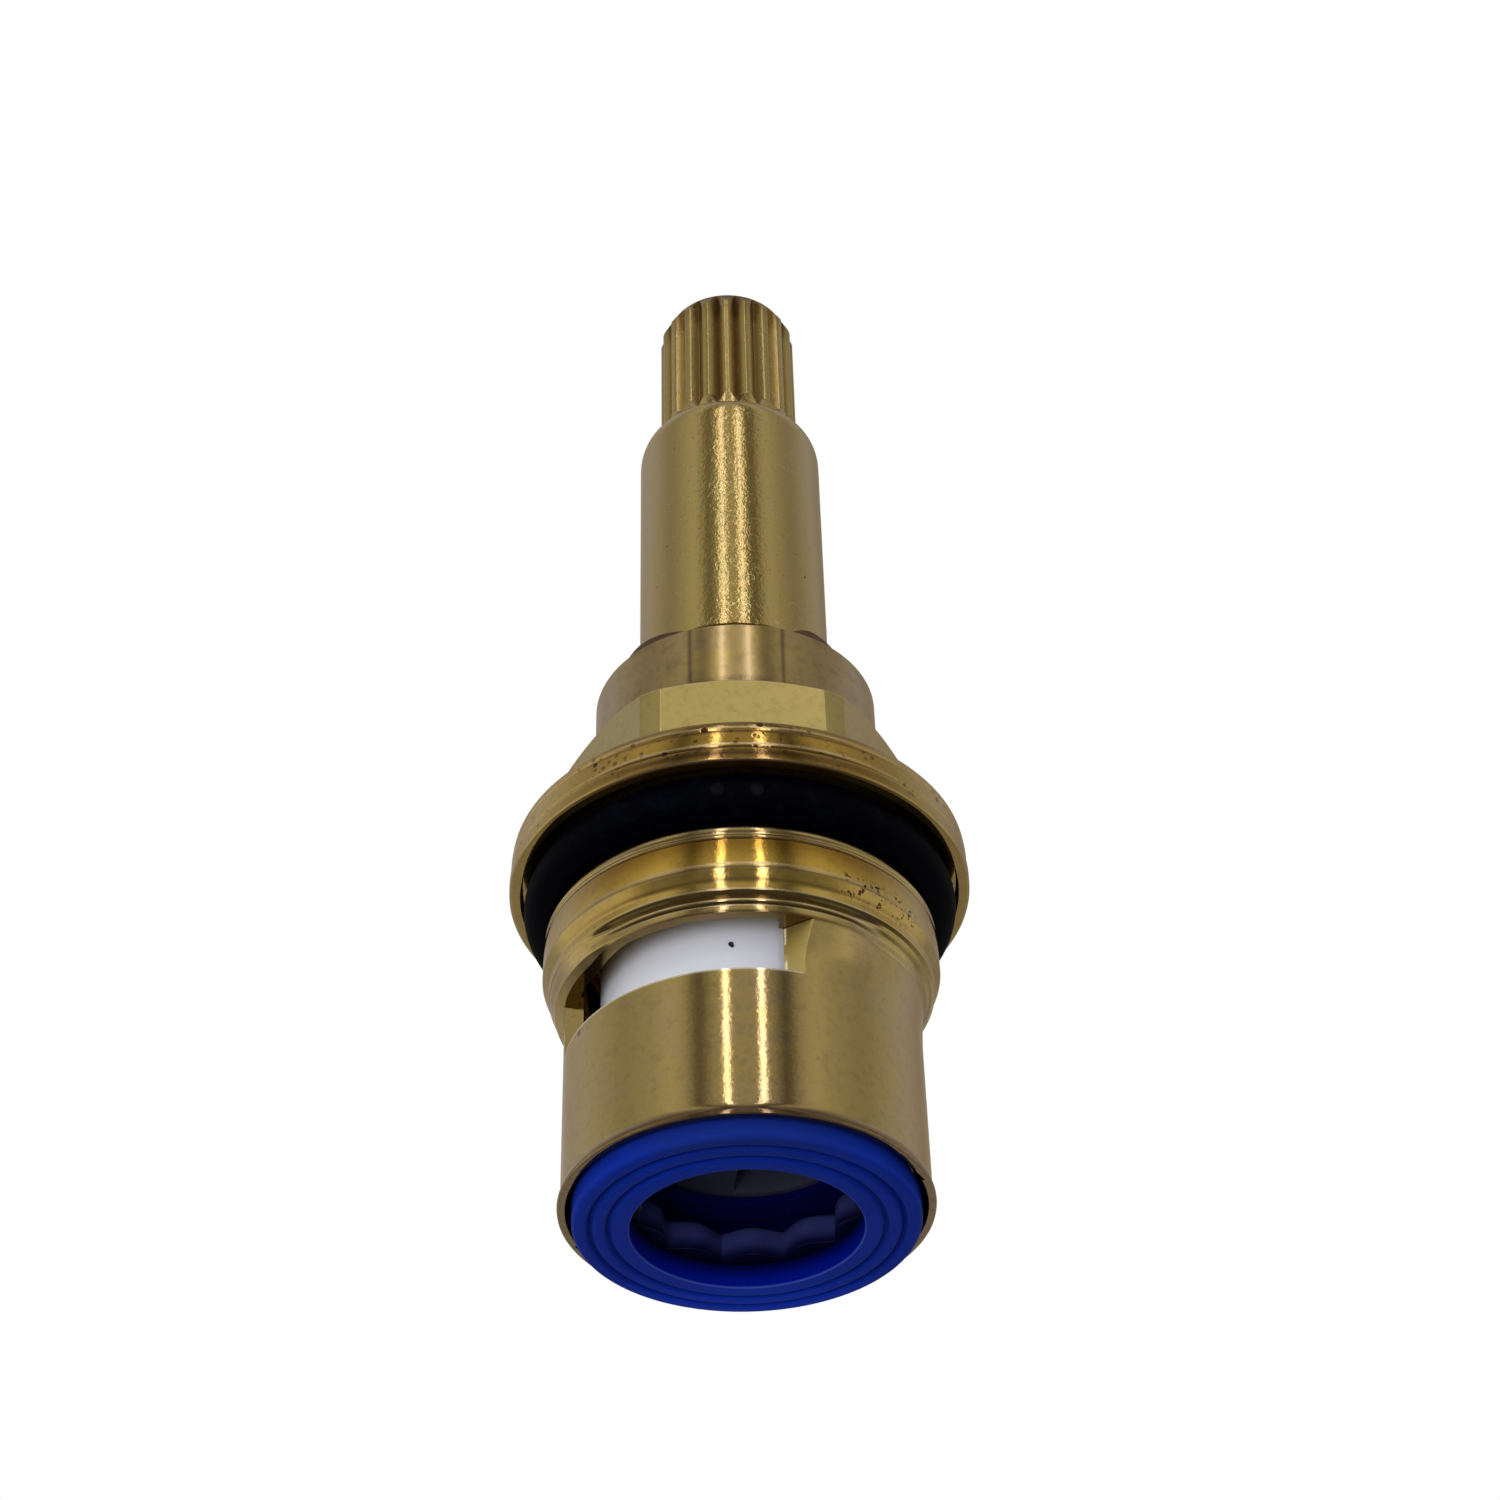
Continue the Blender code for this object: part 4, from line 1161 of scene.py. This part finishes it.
def studio():
    """White to the camera, and to everything else a dim room with two tall strip lights."""
    world = bpy.data.worlds.new("studio")
    bpy.context.scene.world = world
    world.use_nodes = True
    world.node_tree.nodes.clear()
    look = Look(world.node_tree)
    towards = look.add("ShaderNodeTexCoord", {}, {}).outputs["Generated"]
    x, y, z = look.parts(towards)
    bearing = x.math("ARCTAN2", x, 0.0 - y) * (180.0 / math.pi)
    height = z.math("ARCSINE", z) * (180.0 / math.pi)
    aside = bearing.absolute()
    right = bearing.step(-20.0, 20.0)
    upper = height.step(-30.0, 30.0)

    strips = (bearing - STRIP_MIDDLE).absolute().band(*STRIP_SIDES, 0.7)
    strips = strips * height.band(*STRIP_HEIGHTS, 8.0) * (3.3 + 2.0 * height.bell(-12.0, 12.0))
    boxes = aside.band(*BOX_SIDES, 10.0) * height.band(*BOX_HEIGHTS, 8.0)
    boxes = boxes * (0.38 - 0.08 * right)

    room = 0.08 + height.band(*LOW_HEIGHTS, 8.0) * 0.09
    room = room + upper * (0.435 - 0.035 * bearing.step(-30.0, 30.0))
    room = room + aside.step(110.0, 150.0) * (1.0 - height.step(-20.0, 10.0)) * 0.28

    # Dark panels beside the strips and behind the part; the one behind is brown
    panels = aside.bell(27.5, 7.0) * 0.33 + aside.bell(81.0, 14.0) * 0.09
    panels = panels - aside.bell(47.0, 9.0) * 0.12
    back = aside.step(115.0, 155.0) * height.step(0.0, 20.0) * (0.20 + 0.08 * right)

    light = room + strips + boxes - upper * panels - back * 0.65
    green = light * (0.985 - back * 0.6)
    blue = light * (0.97 - back * 1.4) + strips * 0.22
    tinted = look.add("ShaderNodeCombineColor", {}, {0: light, 1: green, 2: blue})
    seen = look.add("ShaderNodeLightPath", {}, {}).outputs["Is Camera Ray"]
    colour = look.mix(seen, tinted.outputs[0], (1.0, 1.0, 1.0))
    shader = look.add("ShaderNodeBackground", {}, {"Color": colour, "Strength": 1.0})
    look.add("ShaderNodeOutputWorld", {}, {"Surface": shader.outputs[0]})


def front_lamp():
    """Wide soft lamp low in front, for the pale disc and the blue seal."""
    data = bpy.data.lights.new("front_lamp", "AREA")
    data.shape = "DISK"
    data.size = LAMP_SIZE
    data.energy = LAMP_POWER
    lamp = bpy.data.objects.new("front_lamp", data)
    bpy.context.scene.collection.objects.link(lamp)
    aim = Vector(LAMP_AIM)
    lamp.location = aim + LAMP_DISTANCE * Vector(LAMP_TOWARDS).normalized()
    lamp.rotation_euler = (aim - lamp.location).to_track_quat("-Z", "Y").to_euler()
    lamp.visible_glossy = False
    lamp.visible_camera = False


def floor():
    """Pale round floor, seen only from above."""
    angle = np.radians(full_turn(FLOOR_SIDES))
    level = np.full(FLOOR_SIDES, FLOOR_Z)
    points = np.column_stack([FLOOR_R * np.sin(angle), -FLOOR_R * np.cos(angle), level])
    mesh = bpy.data.meshes.new("floor")
    mesh.from_pydata((points * MM).tolist(), [], [list(range(FLOOR_SIDES))])
    piece = bpy.data.objects.new("floor", mesh)
    bpy.context.scene.collection.objects.link(piece)
    made, look = new_look("floor")
    far = look.add("ShaderNodeVectorMath", {"operation": "LENGTH"}, {0: look.place()})
    fade = Value(look, far.outputs["Value"]).step(*FLOOR_FADE)
    seen = look.add("ShaderNodeLightPath", {}, {}).outputs["Is Camera Ray"]
    under = look.add("ShaderNodeNewGeometry", {}, {}).outputs["Backfacing"]
    hidden = fade.greatest(Value(look, under)).greatest(1.0 - Value(look, seen))
    plain = look.add("ShaderNodeBsdfDiffuse", {}, {"Color": FLOOR_COLOUR}).outputs[0]
    clear = look.add("ShaderNodeBsdfTransparent", {}, {}).outputs[0]
    both = look.add("ShaderNodeMixShader", {}, {0: hidden, 1: plain, 2: clear})
    look.add("ShaderNodeOutputMaterial", {}, {"Surface": both.outputs[0]})
    mesh.materials.append(made)
    piece.visible_diffuse = False
    piece.visible_glossy = False
    piece.visible_transmission = False
    piece.visible_shadow = False


def camera():
    """Look up at the seal's end, as the photograph does."""
    tilt = math.radians(CAMERA_TILT)
    aim = Vector((0.0, 0.0, CAMERA_AIM))
    place = aim + CAMERA_DISTANCE * Vector((0.0, -math.cos(tilt), -math.sin(tilt)))
    data = bpy.data.cameras.new("camera")
    data.sensor_width = 36.0
    data.lens = CAMERA_LENS
    data.shift_x = CAMERA_SHIFT
    data.clip_start = 0.01
    made = bpy.data.objects.new("camera", data)
    bpy.context.scene.collection.objects.link(made)
    turn = (aim - place).to_track_quat("-Z", "Y").to_matrix().to_4x4()
    roll = Matrix.Rotation(math.radians(CAMERA_ROLL), 4, "Z")
    made.matrix_world = Matrix.Translation(place) @ turn @ roll
    bpy.context.scene.camera = made


def paint(thing, look):
    """Give a piece or a node its one material."""
    thing.data.materials.clear()
    thing.data.materials.append(look)


def main():
    """Build every piece, paint everything and set the stage."""
    nodes = frame["nodes"]
    rubber = black_rubber()
    paint(valve_body(), body_brass())
    paint(spindle(), spindle_brass())
    paint(retaining_clip(), spring_bronze())
    paint(body_ring(), rubber)
    paint(bottom_seal(), blue_silicone())
    paint(noise_damper(), navy_plastic())
    white = white_ceramic()
    paint(nodes["rotating_disc"], white)
    paint(disc_walls(), white)
    paint(nodes["fixed_disc"], grey_ceramic())
    paint(nodes["seal_support_ring"], shaded_steel())
    paint(nodes["thrust_washer"], white_plastic())
    paint(nodes["stem_o_ring_lower"], rubber)
    paint(nodes["stem_o_ring_upper"], rubber)
    studio()
    front_lamp()
    floor()
    camera()
    bpy.context.scene.view_settings.view_transform = "Standard"


main()
